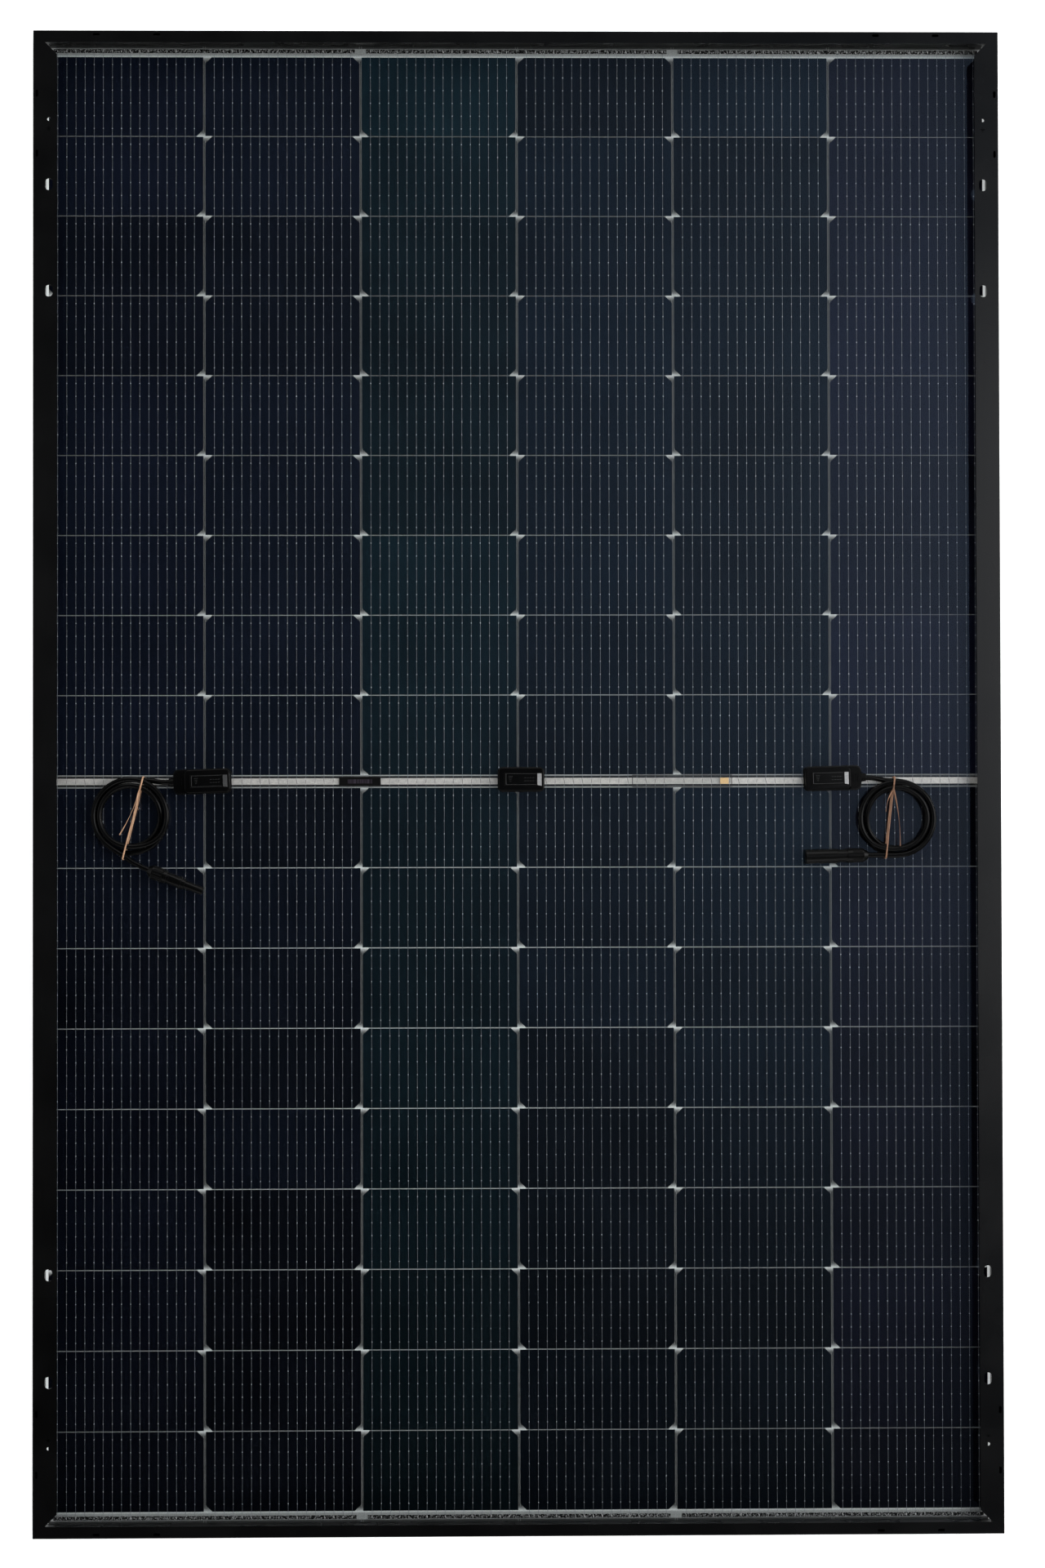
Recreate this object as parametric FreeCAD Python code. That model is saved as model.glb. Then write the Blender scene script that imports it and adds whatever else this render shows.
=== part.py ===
"""Framed bifacial solar module lying face down, rear side up, as separate named pieces.

Millimetres. X runs along the short side, Y along the long side, Z up. The origin is at the
middle of the footprint, on the plane that the front lips rest on.
"""

import FreeCAD, Part
import math
import os

Vector = FreeCAD.Vector
UP = Vector(0, 0, 1)

# Overall size
MODULE_L = 1762.0
MODULE_W = 1134.0
MODULE_T = 30.0

# Frame profile
WALL = 1.5
LEDGE_W = 11.5
LONG_FLANGE_W = 28.0
SHORT_FLANGE_W = 14.0
EDGE_R = 0.6
SLOT_L = 14.0
SLOT_W = 9.0
SLOT_INSET = 18.5
SLOT_SPACINGS = (1400.0, 1150.0)
EARTH_HOLE_R = 2.1
EARTH_HOLE_FROM_END = 104.5
DRAIN_L = 8.0
DRAIN_W = 3.0
DRAIN_INSET = 4.5
DRAIN_FROM_CORNER = (74.0, 144.5)
KEY_LEG = 62.0
KEY_NOTCH = 1.0
KEY_NOTCH_W = 2.0
KEY_NOTCH_START = 8.0
KEY_NOTCH_PITCH = 10.0
KEY_NOTCHES = 4

# Laminate, from the front glass to the rear glass
GLASS_T = 2.0
FRONT_ENCAP_T = 0.45
CELL_T = 0.15
WIRE_T = 0.24
RIBBON_T = 0.28
COVER_T = 0.13
SEAL_T = 0.25
SEAL_SIDE = 1.0

# Cells
COLUMNS = 6
ROWS_PER_HALF = 9
CELL_W = 182.2
CELL_GAP_X = 2.5
CELL_H = 93.5
CELL_GAP_Y = 1.0
MIDDLE_GAP = 15.4
CELL_CHAMFER = 7.5
WIRES = 16
WIRE_FROM_SIDE = 10.475
WIRE_W = 0.3
WIRE_FROM_MIDDLE = 1.0
WIRE_PAST_RIBBON = 1.0

# Bus ribbons, insulation strip and labels
END_RIBBON_W = 4.5
END_RIBBON_FROM_EDGE = 16.8
END_RIBBON_START = 19.6
END_RIBBON_GAP = 13.5
MIDDLE_RIBBON_W = 7.5
STRIP_W = 10.5
TAIL_W = 3.0
TAIL_REACH = 9.0
TAIL_OVERLAP = 4.0
LABEL_T = 0.15
BARCODE_SIZE = (49.0, 11.0)
BARCODE_X = -186.3
RATING_SIZE = (118.0, 14.5)
RATING_X = 193.9

# Junction boxes
BOX_L = 53.0
BOX_W = 27.0
BOX_R = 5.0
BOX_WALL = 2.0
BOX_FLOOR = 1.5
BOX_DEPTH = 11.0
PAD_T = 0.8
PAD_BEAD = 1.2
LID_T = 1.8
LID_RAISED = (38.0, 14.5, 1.6)
LID_BEVEL = 5.0
LID_EDGE = 0.72
LID_OVERLAP = 1.0
SKIRT_H = 2.5
SKIRT_WALL = 1.2
LID_FIT = 0.05
FEED_SLOT = (24.0, 8.0)
TERMINAL = (15.0, 14.0, 0.8)
TERMINAL_X = 14.0
STOP_T = 1.2
STOP_ABOVE_AXIS = 1.8
DIODE = (9.0, 8.0, 3.5)
DIODE_LEG_W = 2.0
DIODE_LEG_T = 0.6
BOX_PLACES = {
    "left": (-365.0, 0.5, 2.0),
    "middle": (3.7, 2.0, 0.0),
    "right": (365.0, 2.5, 1.5),
}
GLAND_BLOCK = (13.0, 26.0, 10.0)
GLAND_CORNER = 8.0
GLAND_NOSE_L = 6.0
GLAND_NOSE_R = (4.9, 4.2)
GLAND_RIBS = 3
GLAND_RIB_H = 0.4
GLAND_RIB_W = 0.8
GLAND_RIB_PITCH = 1.8
GLAND_BAR = (1.4, 9.0, 0.7)
GLAND_BAR_START = 4.0
GLAND_BAR_PITCH = 2.8
GLAND_FLOOR_GAP = 0.2
GLAND_TO_BEND = 7.0
BEND_TO_REST = 14.0
REST_TO_COIL = 0.25
COIL_ENTRY = (2.0, -0.2)

# Leads
CABLE_D = 6.0
CABLE_R = CABLE_D / 2
CABLE_FREE = 0.3
COIL_STRAND_GAP = 0.3
TIE_W = 2.0
TIE_T = 0.5
TIE_FREE = 0.15
TIE_DEG = {"left": -14.0, "right": -6.4}
TIE_SHIFT = {"left": 4.2, "right": -9.0}
TIE_REACH = {"left": 51.6, "right": 49.2}
TIE_KNOT_R = 1.4
TIE_KNOT_L = 4.0
TIE_KNOT_INSET = 15.0
TIE_KNOT_RISE = 0.9
TIE_END_L = 58.0
TIE_END_W = 1.2
TIE_END_DEG = 11.0
LEFT_COIL = (-455.6, -40.6)
RIGHT_COIL = (447.1, -44.6)
COIL_R = 43.0
COIL_IN = 35.8
COIL_EDGE_R = 2.4
LEFT_COIL_OFF_DEG = 237.0
LEFT_OFF_RUN = 21.0
LEFT_OFF_FALL = 0.02
BEND_SHARE = 0.45

# Connectors
NUT_L = 18.0
NUT_R = 8.2
NUT_FIT = 0.05
NUT_TAPER_L = 5.0
NUT_MOUTH_R = 4.8
NUT_SHOULDER = 0.6
NUT_GROOVES = 12
NUT_GROOVE_R = 0.9
NUT_GROOVE_START = 6.5
NUT_GROOVE_LIFT = 0.35
BEND_BEFORE_NUT = 13.0
SPIGOT_R = 6.2
SPIGOT_L = 12.0
SPIGOT_OVERLAP = 1.0
PLUG_BODY_R = 6.4
PLUG_BODY_L = 28.0
PLUG_COLLAR_R = 7.6
PLUG_COLLARS = ((1.0, 4.0), (21.0, 2.4))
PLUG_FLAT = (8.0, 12.0, 5.7)
PLUG_NOSE_R = 4.8
PLUG_NOSE_L = 22.5
SOCKET_BODY_R = 8.4
SOCKET_BODY_L = 55.0
SOCKET_BORE_R = 4.9
SOCKET_BORE_L = 12.0
SOCKET_WELL_R = 4.4
SOCKET_WELL_L = 12.0
SOCKET_WAIST = (6.0, 12.0, 1.0)
SOCKET_RECESS = (6.0, 10.0, 5.2, 2.2)
SLEEVE_R = 2.4
PIN_R = 1.5
PIN_FIT = 0.05
CONTACT_BACK = 8.0
SLEEVE_BORE_L = 24.0
PLUG_MOUTH = 4.0
PLUG_END = (-434.4, -103.8)
PLUG_DEG = -21.5
SOCKET_END = (411.8, -88.0)
SOCKET_DEG = 181.5

# Making
NEAR = 1e-6
UPRIGHT = 0.99
OVER = 1.0

# Levels that follow from the thicknesses
Z_GLASS_FRONT = WALL + SEAL_T
Z_ENCAP_FRONT = Z_GLASS_FRONT + GLASS_T
Z_CELL = Z_ENCAP_FRONT + FRONT_ENCAP_T
Z_WIRE = Z_CELL + CELL_T
Z_RIBBON = Z_WIRE + WIRE_T
Z_GLASS_REAR = Z_RIBBON + RIBBON_T + COVER_T
Z_REAR = Z_GLASS_REAR + GLASS_T
Z_LEDGE = Z_REAR + SEAL_T
Z_CHAMBER = Z_LEDGE + WALL
Z_BASE = Z_REAR + PAD_T
Z_FLOOR = Z_BASE + BOX_FLOOR
Z_LID = Z_BASE + BOX_DEPTH
Z_GLAND = Z_FLOOR + CABLE_R + GLAND_FLOOR_GAP
Z_COIL = Z_REAR + TIE_T + TIE_FREE
Z_LOWER = Z_COIL + CABLE_R
Z_UPPER = Z_LOWER + CABLE_D + COIL_STRAND_GAP

COLUMN_PITCH = CELL_W + CELL_GAP_X
ROW_PITCH = CELL_H + CELL_GAP_Y
GLASS_W = MODULE_W - 2 * (WALL + SEAL_SIDE)
GLASS_L = MODULE_L - 2 * (WALL + SEAL_SIDE)
RIBBON_Y = MODULE_L / 2 - END_RIBBON_FROM_EDGE


def block(x0, y0, z0, x1, y1, z1):
    """A box between two corners."""
    return Part.makeBox(x1 - x0, y1 - y0, z1 - z0, Vector(x0, y0, z0))


def centred(width, length, z0, height, x=0.0, y=0.0):
    """A box centred on x, y that stands on z0."""
    return block(x - width / 2, y - length / 2, z0, x + width / 2, y + length / 2, z0 + height)


def prism(points, z0, height):
    """An upright prism on a closed outline of x, y points."""
    ring = [Vector(x, y, z0) for x, y in points]
    return Part.Face(Part.makePolygon(ring + ring[:1])).extrude(UP * height)


def rounded(width, length, radius, z0, height):
    """A centred slab whose upright edges are rounded."""
    slab = centred(width, length, z0, height)
    upright = [e for e in slab.Edges if abs(e.tangentAt(e.FirstParameter).z) > UPRIGHT]
    return slab.makeFillet(radius, upright)


def slot_tool(x, y, length, width, along_y, z0, height):
    """A round-ended slot's cutting tool."""
    straight, r = (length - width) / 2, width / 2
    tool = centred(width, 2 * straight, z0, height)
    for side in (-1, 1):
        tool = tool.fuse(Part.makeCylinder(r, height, Vector(0, side * straight, z0)))
    if not along_y:
        tool.rotate(Vector(0, 0, 0), UP, 90)
    tool.translate(Vector(x, y, 0))
    return tool


def placed(shape, x, y, degrees):
    """The shape turned about Z and moved to x, y."""
    moved = shape.copy()
    moved.rotate(Vector(0, 0, 0), UP, degrees)
    moved.translate(Vector(x, y, 0))
    return moved


def mirrored(shape, normal):
    """The shape mirrored through the origin's plane with this normal."""
    return shape.mirror(Vector(0, 0, 0), normal)


def profile_bar(length, flange_w):
    """A frame profile along Y with its outer wall on x = 0 and its inside towards +X."""
    outline = [(0, 0), (LEDGE_W, 0), (LEDGE_W, WALL), (WALL, WALL), (WALL, Z_LEDGE)]
    outline += [(LEDGE_W, Z_LEDGE), (LEDGE_W, MODULE_T - WALL), (flange_w, MODULE_T - WALL)]
    outline += [(flange_w, MODULE_T), (0, MODULE_T)]
    ring = [Vector(x, -length / 2, z) for x, z in outline]
    bar = Part.Face(Part.makePolygon(ring + ring[:1])).extrude(Vector(0, length, 0))
    outer = [
        e
        for e in bar.Edges
        if abs(e.CenterOfMass.x) < NEAR and abs(e.Length - length) < NEAR
    ]
    bar = bar.makeFillet(EDGE_R, outer)
    chamber = block(
        WALL, -length / 2, Z_CHAMBER, LEDGE_W - WALL, length / 2, MODULE_T - WALL
    )
    bar = bar.cut(chamber)
    reach = flange_w + LEDGE_W
    for side in (-1, 1):
        end = side * length / 2
        past = end + side * OVER
        corner = [(0, end), (reach, end - side * reach), (reach, past), (0, past)]
        bar = bar.cut(prism(corner, -OVER, MODULE_T + 2 * OVER))
    return bar


def drain_tools(length):
    """Cutting tools for the drain slots of a profile along Y."""
    half = length / 2
    return [
        slot_tool(DRAIN_INSET, side * (half - d), DRAIN_L, DRAIN_W, True, Z_CHAMBER, MODULE_T)
        for side in (-1, 1)
        for d in DRAIN_FROM_CORNER
    ]


def long_profile():
    """The left long profile, with its mounting slots, earth holes and drain slots."""
    bar = profile_bar(MODULE_L, LONG_FLANGE_W)
    tools = drain_tools(MODULE_L)
    for side in (-1, 1):
        for spacing in SLOT_SPACINGS:
            tools.append(
                slot_tool(
                    SLOT_INSET, side * spacing / 2, SLOT_L, SLOT_W, True, Z_CHAMBER, MODULE_T
                )
            )
        y = side * (MODULE_L / 2 - EARTH_HOLE_FROM_END)
        tools.append(
            Part.makeCylinder(EARTH_HOLE_R, MODULE_T, Vector(SLOT_INSET, y, Z_CHAMBER))
        )
    bar = bar.cut(tools)
    bar.translate(Vector(-MODULE_W / 2, 0, 0))
    return bar


def short_profile():
    """The upper short profile, with its drain slots."""
    bar = profile_bar(MODULE_W, SHORT_FLANGE_W).cut(drain_tools(MODULE_W))
    bar.rotate(Vector(0, 0, 0), UP, -90)
    bar.translate(Vector(0, MODULE_L / 2, 0))
    return bar


def corner_key():
    """The key inside the upper left corner, filling both chambers for a leg's length."""
    x0, y1 = -MODULE_W / 2 + WALL, MODULE_L / 2 - WALL
    leg, width = KEY_LEG, LEDGE_W - 2 * WALL
    top = MODULE_T - WALL
    key = block(x0, y1 - leg, Z_CHAMBER, x0 + width, y1, top)
    key = key.fuse(block(x0, y1 - width, Z_CHAMBER, x0 + leg, y1, top)).removeSplitter()
    notches = []
    for i in range(KEY_NOTCHES):
        a = width + KEY_NOTCH_START + i * KEY_NOTCH_PITCH
        b = a + KEY_NOTCH_W
        notches.append(
            block(x0 + width - KEY_NOTCH, y1 - b, Z_CHAMBER, x0 + width, y1 - a, top)
        )
        notches.append(
            block(x0 + a, y1 - width, Z_CHAMBER, x0 + b, y1 - width + KEY_NOTCH, top)
        )
    return key.cut(notches)


def edge_sealant():
    """The sealant ring that holds the laminate's edge in the profiles' groove."""
    groove_w, groove_l = MODULE_W - 2 * WALL, MODULE_L - 2 * WALL
    ring = centred(groove_w, groove_l, WALL, Z_LEDGE - WALL)
    laminate = centred(GLASS_W, GLASS_L, Z_GLASS_FRONT, Z_REAR - Z_GLASS_FRONT)
    window = centred(MODULE_W - 2 * LEDGE_W, MODULE_L - 2 * LEDGE_W, 0, MODULE_T)
    return ring.cut(laminate).cut(window)


def half_cell(x, y0, chamfer_low):
    """A half-cell on column centre x from y0 up, with the corners of one long edge cut."""
    a, b, c, d = x - CELL_W / 2, x + CELL_W / 2, y0, y0 + CELL_H
    k = CELL_CHAMFER
    if chamfer_low:
        outline = [(a + k, c), (b - k, c), (b, c + k), (b, d), (a, d), (a, c + k)]
    else:
        outline = [(a, c), (b, c), (b, d - k), (b - k, d), (a + k, d), (a, d - k)]
    return prism(outline, Z_CELL, CELL_T)


def upper_string(column):
    """The upper string of a column: nine half-cells soldered under sixteen wires."""
    x = (column - (COLUMNS - 1) / 2) * COLUMN_PITCH
    cells = [
        half_cell(x, MIDDLE_GAP / 2 + row * ROW_PITCH, column % 2 == 0)
        for row in range(ROWS_PER_HALF)
    ]
    wires = []
    wire_pitch = (CELL_W - 2 * WIRE_FROM_SIDE) / (WIRES - 1)
    for i in range(WIRES):
        wx = x + (i - (WIRES - 1) / 2) * wire_pitch
        x0, x1 = wx - WIRE_W / 2, wx + WIRE_W / 2
        end = RIBBON_Y + WIRE_PAST_RIBBON
        wires.append(block(x0, WIRE_FROM_MIDDLE, Z_WIRE, x1, end, Z_RIBBON))
    return cells[0].fuse(cells[1:] + wires).removeSplitter()


def end_ribbons():
    """The three upper end ribbons, each joining the two strings of a pair."""
    start, pair = MODULE_W / 2 - END_RIBBON_START, COLUMN_PITCH
    spans = [
        (-start, -pair - END_RIBBON_GAP / 2),
        (-pair + END_RIBBON_GAP / 2, pair - END_RIBBON_GAP / 2),
        (pair + END_RIBBON_GAP / 2, start),
    ]
    half = END_RIBBON_W / 2
    return [
        block(a, RIBBON_Y - half, Z_RIBBON, b, RIBBON_Y + half, Z_RIBBON + RIBBON_T)
        for a, b in spans
    ]


def middle_ribbons():
    """The four middle ribbons, with tails that rise through the glass to the terminals."""
    start = MODULE_W / 2 - END_RIBBON_START
    boxes = [BOX_PLACES[name][0] for name in ("left", "middle", "right")]
    ends = [(-start, None)] + [(x, x) for x in boxes] + [(start, None)]
    ribbons = []
    for (left, box_a), (right, box_b) in zip(ends, ends[1:]):
        x0 = left if box_a is None else left + TAIL_REACH - TAIL_OVERLAP
        x1 = right if box_b is None else right - TAIL_REACH + TAIL_OVERLAP
        half = MIDDLE_RIBBON_W / 2
        ribbon = block(x0, -half, Z_RIBBON, x1, half, Z_RIBBON + RIBBON_T)
        for box_x, side in ((box_a, 1), (box_b, -1)):
            if box_x is not None:
                tail_x = box_x + side * TAIL_REACH
                ribbon = ribbon.fuse(
                    centred(RIBBON_T, TAIL_W, Z_RIBBON, Z_FLOOR - Z_RIBBON, tail_x)
                )
        ribbons.append(ribbon.removeSplitter())
    return ribbons


def feed_slots(z0, height):
    """Cutting tools for the three openings that the ribbon tails pass through."""
    length, width = FEED_SLOT
    return [
        placed(slot_tool(0, 0, length, width, False, z0, height), x, y, turn)
        for x, y, turn in BOX_PLACES.values()
    ]


def box_pad(cable_side):
    """The silicone pad under a junction box and its gland, squeezed out all round them."""
    extra = GLAND_BLOCK[0] if cable_side else 0.0
    length, width = BOX_L + extra + 2 * PAD_BEAD, BOX_W + 2 * PAD_BEAD
    pad = rounded(length, width, BOX_R + PAD_BEAD, Z_REAR, PAD_T)
    pad.translate(Vector(cable_side * extra / 2, 0, 0))
    return pad.cut(slot_tool(0, 0, *FEED_SLOT, False, Z_REAR, PAD_T))


def box_base(cable_side):
    """A box base. cable_side is -1 or 1 for the end the lead leaves by, or 0 for none."""
    base = rounded(BOX_L, BOX_W, BOX_R, Z_BASE, BOX_DEPTH)
    inner = rounded(
        BOX_L - 2 * BOX_WALL, BOX_W - 2 * BOX_WALL, BOX_R - BOX_WALL, Z_FLOOR, BOX_DEPTH
    )
    base = base.cut(inner).cut(slot_tool(0, 0, *FEED_SLOT, False, Z_BASE, BOX_FLOOR))
    if cable_side:
        end = cable_side * BOX_L / 2
        hole = Part.makeCylinder(
            CABLE_R, 2 * BOX_WALL, Vector(end - BOX_WALL, 0, Z_GLAND), Vector(1, 0, 0)
        )
        base = base.cut(hole)
    return base


def box_lid():
    """A box lid: a plate with a raised, bevelled panel, and a skirt that drops in the base."""
    plate = rounded(BOX_L, BOX_W, BOX_R, Z_LID, LID_T)
    top = [e for e in plate.Edges if abs(e.CenterOfMass.z - Z_LID - LID_T) < NEAR]
    plate = plate.makeChamfer(LID_EDGE, top)
    length, width, rise = LID_RAISED
    x0, x1, z = -length / 2, length / 2, Z_LID + LID_T
    side = [(x0 - LID_OVERLAP, z), (x1 + LID_BEVEL, z), (x1, z + rise), (x0, z + rise)]
    ring = [Vector(x, -width / 2, z) for x, z in side]
    panel = Part.Face(Part.makePolygon(ring + ring[:1])).extrude(Vector(0, width, 0))
    inset = BOX_WALL + LID_FIT
    skirt = rounded(
        BOX_L - 2 * inset, BOX_W - 2 * inset, BOX_R - inset, Z_LID - SKIRT_H, SKIRT_H
    )
    inset += SKIRT_WALL
    hollow = rounded(
        BOX_L - 2 * inset, BOX_W - 2 * inset, BOX_R - inset, Z_LID - SKIRT_H, SKIRT_H
    )
    return plate.fuse([panel, skirt.cut(hollow)]).removeSplitter()


def box_terminals():
    """The two terminal plates on the box floor, each with a stop for a wire end."""
    length, width, height = TERMINAL
    plates = []
    for side in (-1, 1):
        x = side * TERMINAL_X
        plate = centred(length, width, Z_FLOOR, height, x)
        rise = Z_GLAND - Z_FLOOR + STOP_ABOVE_AXIS
        stop_x = side * (TERMINAL_X + length / 2 - STOP_T / 2)
        stop = centred(STOP_T, CABLE_D, Z_FLOOR, rise, stop_x)
        plates.append(plate.fuse(stop).removeSplitter())
    return plates


def box_diode():
    """The bypass diode, whose two legs rest on the terminal plates."""
    length, width, height = DIODE
    z = Z_FLOOR + TERMINAL[2]
    body = centred(length, width, z, height)
    leg_x = TERMINAL_X + DIODE_LEG_W
    legs = centred(2 * leg_x, DIODE_LEG_W, z, DIODE_LEG_T)
    return body.fuse(legs).removeSplitter()


def gland(cable_side):
    """The cable gland on a box's end: a ribbed block, then a tapered, ribbed nose."""
    length, width, height = GLAND_BLOCK
    slab = centred(length, width, Z_BASE, height, length / 2)
    far = [
        e
        for e in slab.Edges
        if abs(e.CenterOfMass.x - length) < NEAR and abs(e.tangentAt(0).z) > UPRIGHT
    ]
    slab = slab.makeFillet(GLAND_CORNER, far)
    wide, narrow = GLAND_NOSE_R
    nose = Part.makeCone(wide, narrow, GLAND_NOSE_L, Vector(length, 0, Z_GLAND), Vector(1, 0, 0))
    ribs = []
    bar_w, bar_l, bar_h = GLAND_BAR
    for i in range(GLAND_RIBS):
        x = length + GLAND_RIB_W + GLAND_RIB_PITCH * i
        radius = wide - (wide - narrow) * (x - length) / GLAND_NOSE_L + GLAND_RIB_H
        at = Vector(x, 0, Z_GLAND)
        ribs.append(Part.makeCylinder(radius, GLAND_RIB_W, at, Vector(1, 0, 0)))
        bar_x = GLAND_BAR_START + GLAND_BAR_PITCH * i
        ribs.append(centred(bar_w, bar_l, Z_BASE + height, bar_h, bar_x))
    body = slab.fuse([nose] + ribs).removeSplitter()
    bore = Part.makeCylinder(
        CABLE_R, length + GLAND_NOSE_L + 2 * OVER, Vector(-OVER, 0, Z_GLAND), Vector(1, 0, 0)
    )
    body = body.cut(bore)
    body.translate(Vector(BOX_L / 2, 0, 0))
    return body if cable_side > 0 else mirrored(body, Vector(1, 0, 0))


def route_wire(points):
    """Straight runs joined by tangent arcs through the route, with the radius of each arc."""
    edges, radii, start = [], [], points[0]
    for before, corner, after in zip(points, points[1:], points[2:]):
        run_in, run_out = (corner - before), (after - corner)
        shorter = min(run_in.Length, run_out.Length)
        u, v = Vector(run_in).normalize(), Vector(run_out).normalize()
        half = u.getAngle(v) / 2
        setback = BEND_SHARE * shorter
        radius = setback / math.tan(half)
        inward = (v - u).normalize()
        first, last = corner - u * setback, corner + v * setback
        middle = corner + inward * (radius / math.cos(half) - radius)
        edges.append(Part.makeLine(start, first))
        edges.append(Part.Arc(first, middle, last).toShape())
        radii.append(radius)
        start = last
    edges.append(Part.makeLine(start, points[-1]))
    return Part.Wire(edges), radii


def tube(name, points):
    """A cable tube along a route. Prints its bend radii and how well its volume agrees."""
    wire, radii = route_wire(points)
    along = (points[1] - points[0]).normalize()
    ring = Part.Wire(Part.makeCircle(CABLE_R, points[0], along))
    solid = wire.makePipeShell([ring], True, True)
    ratio = solid.Volume / (math.pi * CABLE_R**2 * wire.Length)
    shown = ", ".join(f"{r:.1f}" for r in radii)
    print(f"{name}: length {wire.Length:.1f}, bend radii {shown}, volume ratio {ratio:.4f}")
    return solid


def coil(place):
    """The outer shape of a coil: a ring round two strands side by side and two high."""
    r0, r1 = COIL_IN - CABLE_R, COIL_R + CABLE_R
    z0, z1 = Z_COIL, Z_UPPER + CABLE_R
    ring = Part.makeCylinder(r1, z1 - z0).cut(Part.makeCylinder(r0, z1 - z0))
    ring = ring.makeFillet(COIL_EDGE_R, [e for e in ring.Edges if e.Closed])
    ring.translate(Vector(place[0], place[1], z0))
    return ring


def tie(side, place):
    """A twist tie round a whole coil, with a knot and a free end on top of it."""
    reach = TIE_REACH[side]
    z0, z1 = Z_REAR, Z_UPPER + CABLE_R + TIE_FREE
    loop = block(-TIE_W / 2, -reach - TIE_T, z0, TIE_W / 2, reach + TIE_T, z1 + TIE_T)
    loop = loop.cut(block(-TIE_W, -reach, z0 + TIE_T, TIE_W, reach, z1))
    knot_y, top = reach - TIE_KNOT_INSET, z1 + TIE_T
    knot_at = Vector(-TIE_KNOT_L / 2, knot_y, top + TIE_KNOT_RISE)
    knot = Part.makeCylinder(TIE_KNOT_R, TIE_KNOT_L, knot_at, Vector(1, 0, 0))
    half = TIE_END_W / 2
    free = block(-half, -TIE_END_L, top, half, 0, top + TIE_END_W)
    free.rotate(Vector(0, 0, 0), UP, TIE_END_DEG if side == "right" else -TIE_END_DEG)
    free.translate(Vector(0, knot_y, 0))
    solid = loop.fuse([knot, free]).removeSplitter()
    solid.translate(Vector(TIE_SHIFT[side], 0, 0))
    return placed(solid, place[0], place[1], TIE_DEG[side])


def ribbed_nut():
    """A connector's cap nut along +X from its cable end, ribbed outside, bored inside."""
    axis = Vector(1, 0, 0)
    taper = Part.makeCone(
        NUT_MOUTH_R, NUT_R - NUT_SHOULDER, NUT_TAPER_L, Vector(0, 0, 0), axis
    )
    barrel = Part.makeCylinder(NUT_R, NUT_L - NUT_TAPER_L, Vector(NUT_TAPER_L, 0, 0), axis)
    nut = taper.fuse(barrel)
    nut = nut.cut(Part.makeCylinder(CABLE_R + CABLE_FREE, NUT_L, Vector(0, 0, 0), axis))
    nut = nut.cut(
        Part.makeCylinder(
            SPIGOT_R + NUT_FIT, SPIGOT_L, Vector(NUT_L - SPIGOT_L, 0, 0), axis
        )
    )
    grooves = []
    at = Vector(NUT_GROOVE_START, 0, NUT_R + NUT_GROOVE_LIFT)
    for i in range(NUT_GROOVES):
        groove = Part.makeCylinder(NUT_GROOVE_R, NUT_L, at, axis)
        groove.rotate(Vector(0, 0, 0), axis, 360.0 * i / NUT_GROOVES)
        grooves.append(groove)
    return nut.cut(grooves)


def spigot():
    """The tube inside a cap nut that grips the cable."""
    start = NUT_L - SPIGOT_L + NUT_FIT
    return Part.makeCylinder(
        SPIGOT_R, NUT_L - start + SPIGOT_OVERLAP, Vector(start, 0, 0), Vector(1, 0, 0)
    )


def cable_bore(depth):
    """The bore that the cable's end fills, up to the contact."""
    return Part.makeCylinder(CABLE_R, depth, Vector(0, 0, 0), Vector(1, 0, 0))


def plug_body():
    """The plug's body along +X: a spigot, a barrel with two collars, and a bored nose."""
    axis = Vector(1, 0, 0)
    barrel = Part.makeCylinder(PLUG_BODY_R, PLUG_BODY_L, Vector(NUT_L, 0, 0), axis)
    collars = [
        Part.makeCylinder(PLUG_COLLAR_R, length, Vector(NUT_L + start, 0, 0), axis)
        for start, length in PLUG_COLLARS
    ]
    nose_x = NUT_L + PLUG_BODY_L
    nose = Part.makeCylinder(PLUG_NOSE_R, PLUG_NOSE_L, Vector(nose_x, 0, 0), axis)
    body = barrel.fuse(collars + [nose, spigot()]).removeSplitter()
    depth = NUT_L + CONTACT_BACK
    bore = Part.makeCylinder(SLEEVE_R, PLUG_BODY_L + PLUG_NOSE_L, Vector(depth, 0, 0), axis)
    start, length, away = PLUG_FLAT
    top_flat = centred(
        length, 2 * PLUG_COLLAR_R, away, PLUG_COLLAR_R, NUT_L + start + length / 2
    )
    flats = [top_flat, mirrored(top_flat, UP)]
    return body.cut([cable_bore(depth), bore] + flats)


def plug_contact():
    """The plug's contact: a sleeve that a pin slides into."""
    axis, depth = Vector(1, 0, 0), NUT_L + CONTACT_BACK
    end = NUT_L + PLUG_BODY_L + PLUG_NOSE_L - PLUG_MOUTH
    sleeve = Part.makeCylinder(SLEEVE_R, end - depth, Vector(depth, 0, 0), axis)
    start = Vector(end - SLEEVE_BORE_L, 0, 0)
    return sleeve.cut(Part.makeCylinder(PIN_R + PIN_FIT, SLEEVE_BORE_L, start, axis))


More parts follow.
